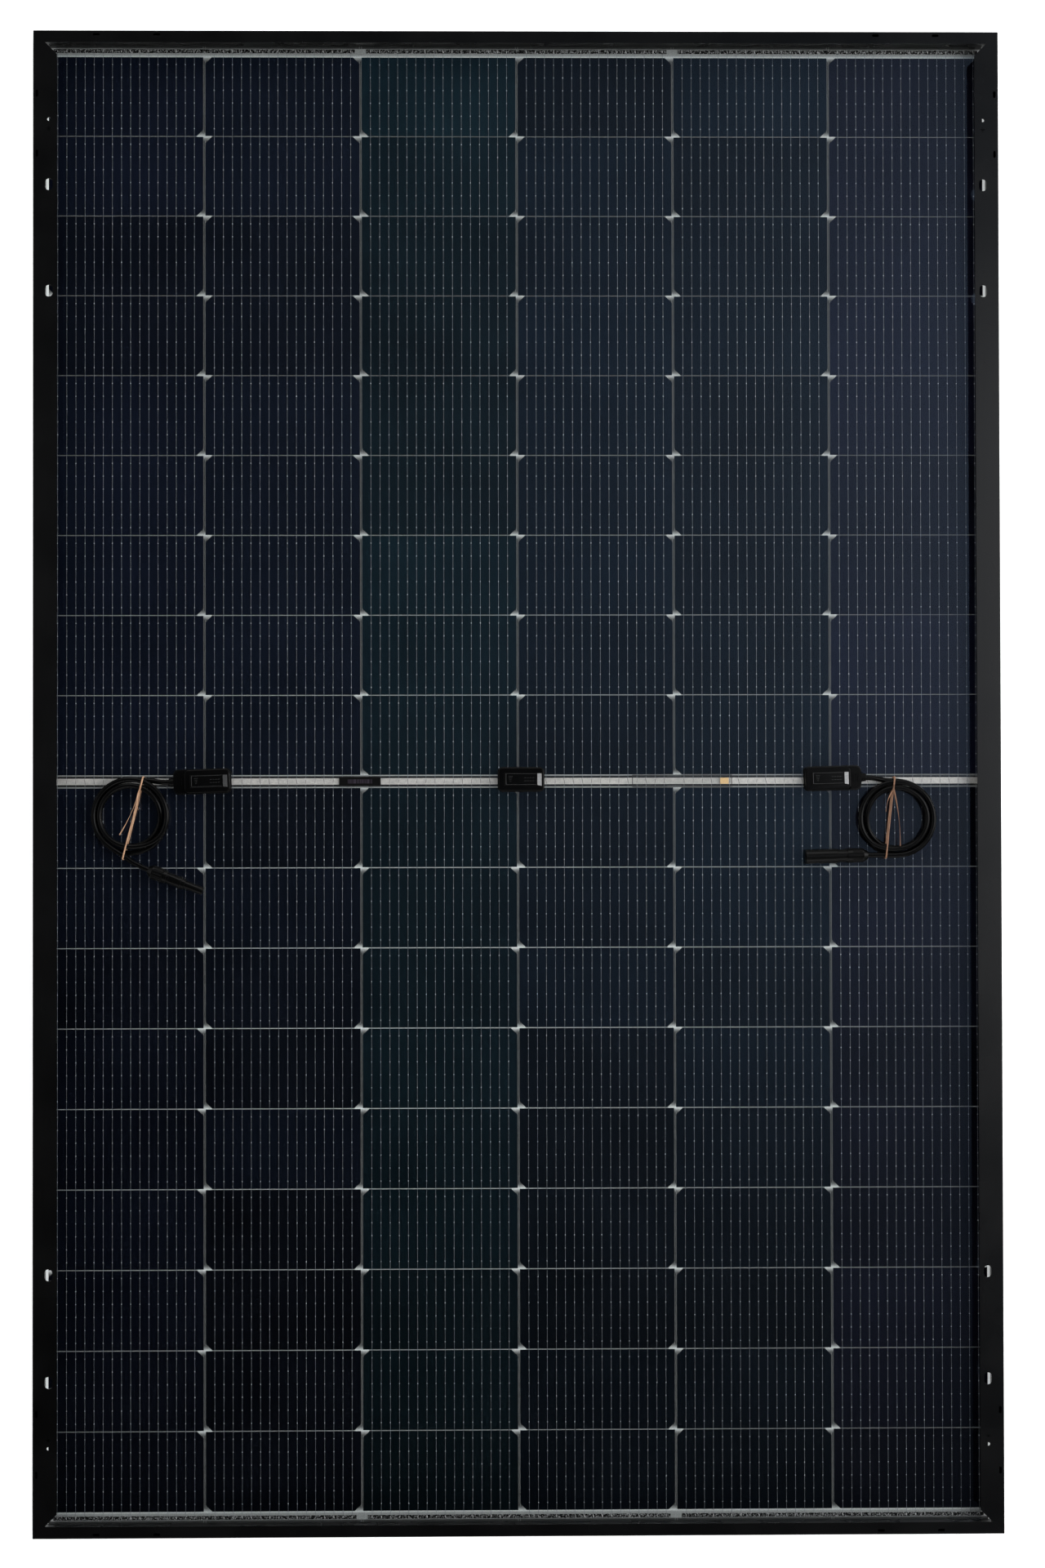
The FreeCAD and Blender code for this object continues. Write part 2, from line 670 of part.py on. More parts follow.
def socket_body():
    """The socket's body along +X: a spigot, a waist, a barrel and two latch recesses."""
    axis = Vector(1, 0, 0)
    barrel = Part.makeCylinder(SOCKET_BODY_R, SOCKET_BODY_L, Vector(NUT_L, 0, 0), axis)
    body = barrel.fuse(spigot()).removeSplitter()
    tip, back = NUT_L + SOCKET_BODY_L, NUT_L + CONTACT_BACK
    mouth = Part.makeCylinder(
        SOCKET_BORE_R, SOCKET_BORE_L, Vector(tip - SOCKET_BORE_L, 0, 0), axis
    )
    well_x = tip - SOCKET_BORE_L - SOCKET_WELL_L
    well = Part.makeCylinder(SOCKET_WELL_R, SOCKET_WELL_L, Vector(well_x, 0, 0), axis)
    hole = Part.makeCylinder(PIN_R, well_x - back, Vector(back, 0, 0), axis)
    start, length, depth = SOCKET_WAIST
    around = Vector(NUT_L + start, 0, 0)
    waist = Part.makeCylinder(SOCKET_BODY_R + OVER, length, around, axis)
    waist = waist.cut(Part.makeCylinder(SOCKET_BODY_R - depth, length, around, axis))
    start, length, height, depth = SOCKET_RECESS
    reach = SOCKET_BODY_R - depth
    x0, x1 = tip - start - length, tip - start
    recess = block(x0, reach, -height / 2, x1, SOCKET_BODY_R + OVER, height / 2)
    recesses = [recess, mirrored(recess, Vector(0, 1, 0))]
    return body.cut([cable_bore(back), mouth, well, hole, waist] + recesses)


def socket_contact():
    """The socket's contact pin, whose end is level with the mouth's floor."""
    start = NUT_L + CONTACT_BACK
    length = SOCKET_BODY_L - CONTACT_BACK - SOCKET_BORE_L
    return Part.makeCylinder(PIN_R, length, Vector(start, 0, 0), Vector(1, 0, 0))


def along_axis(shape, end, degrees, height):
    """A connector piece moved to its place on the rear glass."""
    moved = placed(shape, end[0], end[1], degrees)
    moved.translate(Vector(0, 0, height))
    return moved


def biggest(shape):
    """The largest solid of a cut tube, which is the cable outside its coil."""
    return max(shape.Solids, key=lambda s: s.Volume)


def exit_tube(side, box, place):
    """The run of lead from a box's terminal through the gland and into the coil."""
    x, y, turn = BOX_PLACES[box]
    angle = math.radians(turn)
    away = Vector(math.cos(angle), math.sin(angle), 0) * side
    centre = Vector(x, y, Z_GLAND)
    first = centre + away * (TERMINAL_X + TERMINAL[0] / 2)
    bend = centre + away * (BOX_L / 2 + GLAND_BLOCK[0] + GLAND_NOSE_L + GLAND_TO_BEND)
    top = Vector(place[0], place[1] + COIL_R, Z_LOWER)
    landed = top + (bend - top) * REST_TO_COIL
    landed.x = bend.x + side * BEND_TO_REST
    into_coil = top + Vector(side * COIL_ENTRY[0], COIL_ENTRY[1], 0)
    return tube(f"{box} exit", [first, bend, landed, into_coil])


def tail_tube(name, start, between, end, degrees, height):
    """The run of lead from the coil to a connector's contact."""
    angle = math.radians(degrees)
    forward = Vector(math.cos(angle), math.sin(angle), 0)
    nut = Vector(end[0], end[1], height)
    before, contact = nut - forward * BEND_BEFORE_NUT, nut + forward * (NUT_L + CONTACT_BACK)
    return tube(name, [start] + between + [before, contact])


def main():
    """Builds every piece and writes it to parts/."""
    left, right = Vector(1, 0, 0), Vector(0, 1, 0)
    parts = {}
    parts["frame_long_left"] = long_profile()
    parts["frame_long_right"] = mirrored(parts["frame_long_left"], left)
    parts["frame_short_upper"] = short_profile()
    parts["frame_short_lower"] = mirrored(parts["frame_short_upper"], right)
    key = corner_key()
    keys = [key, mirrored(key, left)]
    parts["corner_keys"] = Part.makeCompound(keys + [mirrored(k, right) for k in keys])
    parts["edge_sealant"] = edge_sealant()

    parts["front_glass"] = centred(GLASS_W, GLASS_L, Z_GLASS_FRONT, GLASS_T)
    parts["front_encapsulant"] = centred(GLASS_W, GLASS_L, Z_ENCAP_FRONT, FRONT_ENCAP_T)
    feeds = feed_slots(Z_CELL, MODULE_T)
    parts["rear_glass"] = centred(GLASS_W, GLASS_L, Z_GLASS_REAR, GLASS_T).cut(feeds)

    strings = []
    for column in range(COLUMNS):
        upper = upper_string(column)
        parts[f"cell_string_{column + 1}_upper"] = upper
        parts[f"cell_string_{column + 1}_lower"] = mirrored(upper, right)
        strings += [upper, mirrored(upper, right)]
    upper_ends = end_ribbons()
    lower_ends = [mirrored(r, right) for r in upper_ends]
    parts["bus_ribbons_upper"] = Part.makeCompound(upper_ends)
    parts["bus_ribbons_lower"] = Part.makeCompound(lower_ends)
    middle = middle_ribbons()
    parts["bus_ribbons_middle"] = Part.makeCompound(middle)
    strip_l = MODULE_W - 2 * END_RIBBON_START
    strip = centred(strip_l, STRIP_W, Z_CELL, CELL_T)
    parts["insulation_strip"] = strip
    sheet = centred(GLASS_W, GLASS_L, Z_CELL, Z_GLASS_REAR - Z_CELL)
    filled = strings + upper_ends + lower_ends + middle + [strip]
    parts["rear_encapsulant"] = sheet.cut(filled).cut(feed_slots(Z_RIBBON + RIBBON_T, MODULE_T))
    parts["barcode_label"] = centred(*BARCODE_SIZE, Z_REAR, LABEL_T, BARCODE_X)
    parts["rating_label"] = centred(*RATING_SIZE, Z_REAR, LABEL_T, RATING_X)

    for name, (x, y, turn) in BOX_PLACES.items():
        side = {"left": -1, "middle": 0, "right": 1}[name]
        pieces = {"pad": box_pad(side), "base": box_base(side), "lid": box_lid()}
        pieces["diode"] = box_diode()
        pieces["terminals"] = Part.makeCompound(box_terminals())
        if side:
            pieces["gland"] = gland(side)
        for piece, shape in pieces.items():
            parts[f"{name}_box_{piece}"] = placed(shape, x, y, turn)

    left_coil, right_coil = coil(LEFT_COIL), coil(RIGHT_COIL)
    plug_z, socket_z = Z_REAR + NUT_R, Z_REAR + SOCKET_BODY_R
    off = math.radians(LEFT_COIL_OFF_DEG)
    start = Vector(math.cos(off), math.sin(off), 0) * COIL_R
    start += Vector(LEFT_COIL[0], LEFT_COIL[1], Z_UPPER)
    between = start + Vector(-math.sin(off), math.cos(off), -LEFT_OFF_FALL) * LEFT_OFF_RUN
    tail = tail_tube("left tail", start, [between], PLUG_END, PLUG_DEG, plug_z)
    parts["left_lead_exit"] = biggest(exit_tube(-1, "left", LEFT_COIL).cut(left_coil))
    parts["left_lead_coil"] = left_coil
    parts["left_lead_tail"] = biggest(tail.cut(left_coil))
    parts["left_lead_tie"] = tie("left", LEFT_COIL)

    start = Vector(RIGHT_COIL[0], RIGHT_COIL[1] - COIL_R, Z_UPPER)
    tail = tail_tube("right tail", start, [], SOCKET_END, SOCKET_DEG, socket_z)
    parts["right_lead_exit"] = biggest(exit_tube(1, "right", RIGHT_COIL).cut(right_coil))
    parts["right_lead_coil"] = right_coil
    parts["right_lead_tail"] = biggest(tail.cut(right_coil))
    parts["right_lead_tie"] = tie("right", RIGHT_COIL)

    plug = {"body": plug_body(), "nut": ribbed_nut(), "contact": plug_contact()}
    for piece, shape in plug.items():
        parts[f"plug_{piece}"] = along_axis(shape, PLUG_END, PLUG_DEG, plug_z)
    socket = {"body": socket_body(), "nut": ribbed_nut(), "contact": socket_contact()}
    for piece, shape in socket.items():
        parts[f"socket_{piece}"] = along_axis(shape, SOCKET_END, SOCKET_DEG, socket_z)

    os.makedirs("parts", exist_ok=True)
    for name, shape in parts.items():
        shape.exportStep(f"parts/{name}.step")
        print(name, len(shape.Solids), f"{shape.Volume:.1f}", shape.isValid())
    print(len(parts), "parts")


main()
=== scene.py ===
"""A framed bifacial solar module lying face down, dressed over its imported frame.

Metres. X runs along the short side, Y along the long side and Z out of the module's rear.
"""

from __future__ import annotations

import logging
import math
from dataclasses import dataclass
from enum import Enum

import bmesh
import bpy
from mathutils import Matrix, Vector


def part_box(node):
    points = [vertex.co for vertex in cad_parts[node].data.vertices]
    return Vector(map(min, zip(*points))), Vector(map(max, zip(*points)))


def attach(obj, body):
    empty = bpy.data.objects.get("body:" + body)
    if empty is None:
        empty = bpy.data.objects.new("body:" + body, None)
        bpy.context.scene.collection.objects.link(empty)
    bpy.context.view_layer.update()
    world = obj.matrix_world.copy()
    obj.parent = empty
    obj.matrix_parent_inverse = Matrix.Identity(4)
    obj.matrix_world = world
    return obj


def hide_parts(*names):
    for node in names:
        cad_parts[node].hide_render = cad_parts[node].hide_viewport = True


MM = 0.001
BODY = "module"
LOG = logging.getLogger("solar_module")
Point = Vector | tuple[float, float, float]


class Half(Enum):
    """The half of the module that a cell string lies in."""

    UPPER = 1
    LOWER = -1


class Side(Enum):
    """The side of the module that a lead lies on."""

    LEFT = -1
    RIGHT = 1


# Finishes


class Nodes:
    """A node tree, with short ways to add the nodes that every tree here uses."""

    family = "ShaderNode"

    def __init__(self, tree: bpy.types.NodeTree) -> None:
        """Takes a tree over."""
        self.tree = tree

    def node(
        self, kind: str, inputs: dict[str | int, object], **settings: object
    ) -> bpy.types.Node:
        """Adds a node.

        Args:
            kind: The node's whole type name.
            inputs: Values or sockets, by input name or number.
            settings: The node's own properties, set before its inputs.

        Returns:
            The new node.
        """
        node = self.tree.nodes.new(kind)
        for name, value in settings.items():
            setattr(node, name, value)
        for key, value in inputs.items():
            socket = node.inputs[key]
            if isinstance(value, bpy.types.NodeSocket):
                self.tree.links.new(value, socket)
            else:
                socket.default_value = value
        return node

    def add(self, kind: str, **inputs: object) -> bpy.types.Node:
        """Adds a node of the tree's own family, its inputs named with underscores for spaces."""
        return self.node(
            self.family + kind, {name.replace("_", " "): v for name, v in inputs.items()}
        )

    def math(self, operation: str, first: object, second: object = 0.0) -> bpy.types.NodeSocket:
        """Adds a Math node and returns its output."""
        return self.node("ShaderNodeMath", {0: first, 1: second}, operation=operation).outputs[0]

    def times(self, first: object, second: object) -> bpy.types.NodeSocket:
        """The product of two values."""
        return self.math("MULTIPLY", first, second)

    def ramp(
        self, value: bpy.types.NodeSocket, low: float, high: float, start: float, end: float
    ) -> bpy.types.NodeSocket:
        """Maps value from low..high to start..end, held at both ends."""
        span = dict(zip(("From Min", "From Max", "To Min", "To Max"), (low, high, start, end)))
        return self.node("ShaderNodeMapRange", {"Value": value, **span}).outputs[0]

    def blend(self, factor: object, first: object, second: object) -> bpy.types.NodeSocket:
        """Mixes two colours by factor and returns the colour."""
        colours = {0: factor, 6: first, 7: second}
        return self.node("ShaderNodeMix", colours, data_type="RGBA").outputs[2]

    def scaled(self, vector: object, factor: object) -> bpy.types.NodeSocket:
        """A vector or colour times a factor."""
        inputs = {0: vector, "Scale": factor}
        return self.node("ShaderNodeVectorMath", inputs, operation="SCALE").outputs[0]

    def distance(self, first: object, second: object) -> bpy.types.NodeSocket:
        """The distance between two points."""
        inputs = {0: first, 1: second}
        return self.node("ShaderNodeVectorMath", inputs, operation="DISTANCE").outputs["Value"]


class Shader(Nodes):
    """A material's node tree, with the nodes that the finishes share."""

    def __init__(self, name: str) -> None:
        """Starts an empty material called name."""
        self.material = bpy.data.materials.new(name)
        self.material.use_nodes = True
        super().__init__(self.material.node_tree)
        self.tree.nodes.clear()
        self.output = self.add("OutputMaterial")
        self.coordinates = self.add("TexCoord")

    @property
    def at(self) -> bpy.types.NodeSocket:
        """The piece's own Object coordinates."""
        return self.coordinates.outputs["Object"]

    def noise(
        self, scale: float, detail: float = 3.0, stretch: tuple[float, float, float] = (1, 1, 1)
    ) -> bpy.types.NodeSocket:
        """Adds a noise on the piece's own Object coordinates.

        Args:
            scale: Features per metre.
            detail: The noise's octaves.
            stretch: How much denser the noise is along each axis.

        Returns:
            The noise's value, from 0 to 1.
        """
        mapping = self.add("Mapping", Vector=self.at, Scale=stretch).outputs[0]
        return self.add("TexNoise", Vector=mapping, Scale=scale, Detail=detail).outputs["Fac"]

    def bump(self, height: bpy.types.NodeSocket, strength: float, depth: float) -> object:
        """Adds a bump of that depth in metres and returns the normal."""
        return self.add("Bump", Height=height, Strength=strength, Distance=depth).outputs[0]

    def glossed(self, **inputs: object) -> bpy.types.Material:
        """Closes the material with one Principled shader that has those inputs."""
        return self.close(self.add("BsdfPrincipled", **inputs).outputs[0])

    def mixed(self, share: object, first: object, second: object) -> bpy.types.NodeSocket:
        """Mixes two shader nodes or sockets by the second one's share."""
        return self.node("ShaderNodeMixShader", {0: share, 1: first, 2: second}).outputs[0]

    def close(self, surface: bpy.types.NodeSocket) -> bpy.types.Material:
        """Links the surface to the output and returns the finished material."""
        self.tree.links.new(surface, self.output.inputs["Surface"])
        return self.material


def grey(value: float, blue: float = 0.0) -> tuple[float, float, float, float]:
    """A linear grey, with a little more blue where asked."""
    return (value, value * (1 + blue * 0.4), value * (1 + blue), 1.0)


@dataclass(frozen=True)
class Finish:
    """A solid finish: two shades mixed by grain, with grain in its roughness and relief.

    The grain runs denser across the directions given by stretch.
    """

    name: str
    shade: tuple[float, float, float, float]
    second: tuple[float, float, float, float]
    roughness: float
    spread: float = 0.1
    metal: float = 0.0
    specular: float = 0.5
    grain: float = 900.0
    stretch: tuple[float, float, float] = (1, 1, 1)
    relief: float = 0.2
    depth: float = 0.05 * MM
    patches: float = 14.0
    bounds: tuple[float, float] = (0.12, 0.4)

    def material(self) -> bpy.types.Material:
        """Builds the finish as a node material."""
        s = Shader(self.name)
        fine = s.noise(self.grain, 4.0, self.stretch)
        broad = s.noise(self.patches, 3.0)
        second = s.ramp(s.times(fine, broad), *self.bounds, 0.0, 1.0)
        smoothest, roughest = self.roughness - self.spread, self.roughness + self.spread
        return s.glossed(
            Base_Color=s.blend(second, self.shade, self.second),
            Roughness=s.ramp(broad, 0.3, 0.7, smoothest, roughest),
            Metallic=self.metal,
            Specular_IOR_Level=self.specular,
            Normal=s.bump(fine, self.relief, self.depth),
        )


@dataclass(frozen=True)
class CellFinish:
    """Passivated silicon behind glass: dark blue with a hue and a tint for each half-cell, and
    painted shade that darkens the cells towards the lower end.
    """

    name: str
    navy: tuple[float, float, float, float] = (0.0016, 0.0030, 0.0072, 1.0)
    teal: tuple[float, float, float, float] = (0.0016, 0.0085, 0.0110, 1.0)
    violet: tuple[float, float, float, float] = (0.0042, 0.0040, 0.0115, 1.0)
    cloud_scale: float = 9.0
    pyramid_scale: float = 2600.0
    # Painted shade along Y: the cells are darkened to 0.3 at Y = -0.85 m, rising to full at Y =
    # 0.1 m.
    painted_shade_end: tuple[float, float, float, float] = (-0.85, 0.1, 0.3, 1.0)

    def material(self) -> bpy.types.Material:
        """Builds the finish from the cells' tint and hue attributes."""
        s = Shader(self.name)
        tint, hue = (
            s.node("ShaderNodeAttribute", {}, attribute_name=name).outputs["Fac"]
            for name in ("tint", "hue")
        )
        base = s.blend(s.ramp(hue, 0.5, 1.0, 0.0, 1.0), self.navy, self.teal)
        base = s.blend(s.ramp(hue, 0.5, 0.0, 0.0, 1.0), base, self.violet)
        cloud = s.noise(self.cloud_scale, 4.0)
        pyramid = s.noise(self.pyramid_scale, 2.0)
        light = s.math("ADD", s.ramp(cloud, 0.3, 0.7, 0.75, 1.25), tint)
        along = s.add("SeparateXYZ", Vector=s.at).outputs[1]
        # Painted shade: darker towards the lower end, where less light falls on the module.
        light = s.times(light, s.ramp(along, *self.painted_shade_end))
        light = s.math("ADD", light, s.ramp(pyramid, 0.35, 0.65, -0.06, 0.06))
        return s.glossed(
            Base_Color=s.scaled(base, light),
            Roughness=s.ramp(cloud, 0.3, 0.7, 0.4, 0.55),
            Specular_IOR_Level=0.04,
            Normal=s.bump(pyramid, 0.05, 0.01 * MM),
        )


@dataclass(frozen=True)
class ClearFinish:
    """A clear sheet: see-through, with a mirror's share that grows towards its edge."""

    name: str
    tint: tuple[float, float, float, float] = (0.98, 0.985, 0.985, 1.0)
    mirror: float = 0.035
    edge_mirror: float = 0.75
    roughness: float = 0.03
    haze: float = 0.0
    haze_scale: float = 60.0

    def material(self) -> bpy.types.Material:
        """Builds the finish as a mix of a transparent, a glossy and a hazy shader."""
        s = Shader(self.name)
        steep = s.math("POWER", s.add("LayerWeight", Blend=0.5).outputs["Facing"], 5.0)
        share = s.math("ADD", s.times(steep, self.edge_mirror), self.mirror)
        clear = s.add("BsdfTransparent", Color=self.tint).outputs[0]
        wave = s.bump(s.noise(3.0, 2.0), 0.05, 1.0 * MM)
        gloss = s.add("BsdfGlossy", Color=grey(0.95), Roughness=self.roughness, Normal=wave)
        surface = s.mixed(share, clear, gloss.outputs[0])
        if self.haze:
            dust = s.ramp(s.noise(self.haze_scale, 5.0), 0.35, 0.75, 0.2, 1.0)
            film = s.add("BsdfDiffuse", Color=grey(0.7)).outputs[0]
            surface = s.mixed(s.times(dust, self.haze), surface, film)
        return s.close(surface)


@dataclass(frozen=True)
class GapFinish:
    """Encapsulant between the cells, lit by the lamps but painted milky to stand in for floor
    light showing through the gaps: most along the rows' ends and corners.
    """

    name: str
    row_pitch: float = 94.5 * MM
    row_start: float = 7.2 * MM
    end_row: float = 857.0 * MM
    end_border: float = 3.0 * MM
    # Painted shadow: from here outwards the margin goes clear and dark, where the flange shades
    # it.
    flange_shadow_from: float = 866.8 * MM
    side_margin: float = 552.85 * MM
    under_flange: float = 8.5 * MM
    column_pitch: float = 184.7 * MM
    column_gap: float = 2.5 * MM
    corner: float = 9.5 * MM
    corner_fall: float = 2.8
    # Painted highlight: the gaps are painted brighter round this spot, fading out between these
    # two distances.
    painted_highlight_at: tuple[float, float, float] = (-0.1, -0.26, 0.0)
    painted_highlight_reach: tuple[float, float] = (0.1, 0.75)
    milky: tuple[float, float, float, float] = (0.72, 0.75, 0.74, 1.0)

    def share(self, s: Shader) -> bpy.types.NodeSocket:
        """How milky the sheet is at a place, from the nearest row and column boundary: painted
        floor light through the gaps, with a painted highlight and a painted flange shadow.
        """
        across, along, _ = s.add("SeparateXYZ", Vector=s.at).outputs
        y = s.math("ABSOLUTE", along)
        rows = s.math("DIVIDE", s.math("SUBTRACT", y, self.row_start), self.row_pitch)
        to_row = s.times(s.math("PINGPONG", rows, 0.5), self.row_pitch)
        columns = s.math("DIVIDE", across, self.column_pitch)
        to_column = s.times(s.math("PINGPONG", columns, 0.5), self.column_pitch)
        fade = s.math("POWER", s.ramp(to_row, 0.0, self.corner, 1.0, 0.0), self.corner_fall)
        near = s.ramp(to_column, self.corner * 0.8, self.corner * 1.1, 1.0, 0.0)
        middle = s.ramp(y, self.row_start, self.row_start + 0.6 * MM, 0.2, 1.0)
        corner = s.times(s.times(fade, near), middle)
        line = s.ramp(to_row, 0.5 * MM, 1.0 * MM, 1.0, 0.0)
        rim = s.math("ABSOLUTE", s.math("SUBTRACT", to_column, self.column_gap / 2))
        rim = s.ramp(rim, 0.25 * MM, 0.6 * MM, 0.15, 0.04)
        # Painted highlight round one spot.
        painted_highlight = s.ramp(s.distance(s.at, self.painted_highlight_at), *self.painted_highlight_reach, 1.0, 0.0)
        border = s.ramp(y, self.end_row, self.end_row + self.end_border, 0.85, 0.35)
        border = s.times(s.math("GREATER_THAN", y, self.end_row), border)
        # Painted flange shadow over the outer margin.
        flange_shadow = s.ramp(y, self.flange_shadow_from, self.flange_shadow_from + MM, 1.0, 0.0)
        # The milky share is painted light: the corners, row lines, column rims and the margin past
        # the end rows stand in for floor light seen through them.
        share = s.times(corner, s.math("ADD", 0.7, s.times(painted_highlight, 0.3)))
        for other in (
            s.times(line, s.math("ADD", 0.13, s.times(painted_highlight, 0.42))),
            rim,
            s.times(border, flange_shadow),
        ):
            share = s.math("MAXIMUM", share, other)
        share = s.times(share, s.ramp(s.noise(700.0, 3.0), 0.3, 0.7, 0.8, 1.15))
        beside = s.math("GREATER_THAN", s.math("ABSOLUTE", across), self.side_margin)
        return s.math("MAXIMUM", share, beside)

    def material(self) -> bpy.types.Material:
        """Builds the finish, with a painted glow beyond the outer cells that stands in for floor
        light coming up through the margin.
        """
        s = Shader(self.name)
        share = self.share(s)
        across = s.math("ABSOLUTE", s.add("SeparateXYZ", Vector=s.at).outputs[0])
        hidden = self.side_margin - self.under_flange
        # Painted glow: the film emits from 8.5 mm inside the outer cells' edge outwards, though it
        # is no lamp.
        painted_glow = s.ramp(across, hidden, hidden + 0.5 * MM, 0.0, 1.0)
        # Painted shade: the clear part passes only a twentieth of the light behind it, standing in
        # for the shade under the module.
        clear = s.add("BsdfTransparent", Color=grey(0.05)).outputs[0]
        film = s.add(
            "BsdfPrincipled",
            Base_Color=self.milky,
            Roughness=1.0,
            Specular_IOR_Level=0.0,
            Emission_Color=s.blend(painted_glow, grey(0.0), grey(0.36)),
            Emission_Strength=1.0,
        )
        return s.close(s.mixed(share, clear, film.outputs[0]))


@dataclass(frozen=True)
class BarFinish:
    """A black label with faint upright bars printed across its middle."""

    name: str
    bars: float = 900.0
    half_length: float = 0.29
    half_height: float = 0.22
    ink: tuple[float, float, float, float] = (0.03, 0.024, 0.034, 1.0)

    def material(self) -> bpy.types.Material:
        """Builds the finish from the label's own UV map, with bars along U."""
        s = Shader(self.name)
        u, v, _ = s.add("SeparateXYZ", Vector=s.coordinates.outputs["UV"]).outputs
        code = {"Scale": self.bars, "Detail": 0.0, "W": s.times(u, 0.06)}
        code = s.node("ShaderNodeTexNoise", code, noise_dimensions="1D").outputs["Fac"]
        printed = s.math("GREATER_THAN", code, 0.5)
        for place_on, half in ((u, self.half_length), (v, self.half_height)):
            off = s.math("ABSOLUTE", s.math("SUBTRACT", place_on, 0.5))
            printed = s.times(printed, s.math("LESS_THAN", off, half))
        grain = s.noise(2500.0, 2.0)
        return s.glossed(
            Base_Color=s.blend(printed, grey(0.001), self.ink),
            Roughness=s.ramp(grain, 0.3, 0.7, 0.4, 0.55),
            Specular_IOR_Level=0.1,
            Normal=s.bump(grain, 0.1, 0.02 * MM),
        )


FINISHES: dict[str, object] = {
    "long_frame": Finish(
        "black anodised, drawn lengthwise", grey(0.0010), grey(0.0020), 0.27, 0.03,
        specular=0.2, grain=1400.0, stretch=(1, 0.01, 1), relief=0.05,
    ),
    "short_frame": Finish(
        "black anodised, drawn crosswise", grey(0.0010), grey(0.0020), 0.27, 0.03,
        specular=0.2, grain=1400.0, stretch=(0.01, 1, 1), relief=0.05,
    ),
    "key": Finish("plain cast aluminium", grey(0.35), grey(0.5), 0.45, 0.1, metal=1.0),
    "silicone": Finish(
        "black silicone", grey(0.0008), grey(0.002), 0.38, 0.08, specular=0.15, grain=300.0
    ),
    "glass": ClearFinish("toughened glass", mirror=0.03),
    "encapsulant": ClearFinish("clear encapsulant", mirror=0.0, edge_mirror=0.02),
    "gap": GapFinish("encapsulant between cells"),
    "cell": CellFinish("silicon cell"),
    "wire": Finish(
        "drawn tinned wire", grey(0.12, 0.16), grey(0.19, 0.16), 0.45, 0.1, metal=0.3,
        grain=2500.0, patches=30.0,
    ),
    "pad": Finish("solder pad", grey(0.36, 0.08), grey(0.6, 0.08), 0.4, 0.1, metal=0.2),
    "end_ribbon": Finish(
        "bright tinned ribbon", grey(0.004), grey(0.3), 0.3, 0.1, metal=0.2,
        grain=900.0, relief=0.5, patches=560.0, bounds=(0.24, 0.36),
    ),
    "ribbon": Finish(
        "matt tinned ribbon", (0.45, 0.43, 0.41, 1), (0.6, 0.57, 0.54, 1), 0.5, 0.12,
        metal=0.25, grain=700.0, relief=0.4, patches=260.0,
    ),
    "solder": Finish(
        "solder joint", (0.06, 0.055, 0.05, 1), (0.20, 0.19, 0.18, 1), 0.3, 0.1,
        metal=0.4, grain=1500.0, relief=0.6,
    ),
    "end_solder": Finish(
        "bright solder joint", grey(0.4), grey(0.75), 0.3, 0.1, metal=0.2, grain=1500.0
    ),
    "strip": Finish("black film", grey(0.001), grey(0.003), 0.5, 0.08, specular=0.1),
    "barcode": BarFinish("black label"),
    "clear_label": ClearFinish("clear label", mirror=0.01, haze=0.01, roughness=0.2),
    "label_edge": Finish("label edge", grey(0.012), grey(0.03), 0.5, 0.1, specular=0.1),
    "tape": Finish("amber tape", (0.42, 0.28, 0.12, 1), (0.6, 0.42, 0.22, 1), 0.45, 0.1),
    "box": Finish(
        "moulded black plastic", grey(0.0005), grey(0.0010), 0.36, 0.08, specular=0.07,
        grain=1600.0, relief=0.2, depth=0.02 * MM,
    ),
    # Painted highlight on the lids' sloping ends, dimmer on the left box, which lies farthest from
    # the light.
    "bevel": Finish("bevel with painted highlight", grey(0.20), grey(0.36), 0.3, 0.1, relief=0.1),
    "dim_bevel_highlight": Finish("dull bevel", grey(0.02), grey(0.05), 0.35, 0.1, relief=0.1),
    "print": Finish("grey print", grey(0.02), grey(0.045), 0.5, 0.1),
    "diode": Finish("epoxy", grey(0.003), grey(0.006), 0.5, 0.1, specular=0.2),
    "copper": Finish(
        "tinned copper", (0.55, 0.48, 0.4, 1), (0.75, 0.66, 0.56, 1), 0.35, 0.1, metal=1.0
    ),
    "cable": Finish(
        "cable sheath", grey(0.0005), grey(0.0011), 0.28, 0.07, specular=0.08,
        grain=1200.0, relief=0.2, patches=40.0,
    ),
    "tie": Finish(
        "tan tie", (0.34, 0.18, 0.10, 1), (0.58, 0.36, 0.22, 1), 0.5, 0.1, grain=1800.0,
        relief=0.5, patches=120.0,
    ),
    "connector": Finish(
        "connector plastic", grey(0.0007), grey(0.0014), 0.34, 0.08, specular=0.09,
        grain=1800.0, relief=0.2,
    ),
    "dark_tie": Finish(
        "copper tie", (0.13, 0.06, 0.03, 1), (0.26, 0.13, 0.07, 1), 0.5, 0.1, grain=1800.0,
        relief=0.5, patches=120.0,
    ),
    "mark": Finish("engraved mark", grey(0.02), grey(0.04), 0.6, 0.1),
}


class Finishes:
    """Gives each finish's material, made once."""

    def __init__(self) -> None:
        """Starts with no material made."""
        self._made: dict[str, bpy.types.Material] = {}

    def __getitem__(self, name: str) -> bpy.types.Material:
        """The material of the named finish."""
        if name not in self._made:
            self._made[name] = FINISHES[name].material()
        return self._made[name]


# Shared mesh work


def linked(name: str, data: bpy.types.ID) -> bpy.types.Object:
    """Makes an object with that data and links it to the scene."""
    made = bpy.data.objects.new(name, data)
    bpy.context.scene.collection.objects.link(made)
    return made


def place(mesh: bpy.types.Mesh, name: str, body: str) -> bpy.types.Object:
    """Makes a finished piece that rides on a body.

    Args:
        mesh: Its mesh, in the row frame.
        name: The piece's name.
        body: The CAD body that it moves with.

    Returns:
        The new object.
    """
    piece = linked(name, mesh)
    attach(piece, body)
    return piece


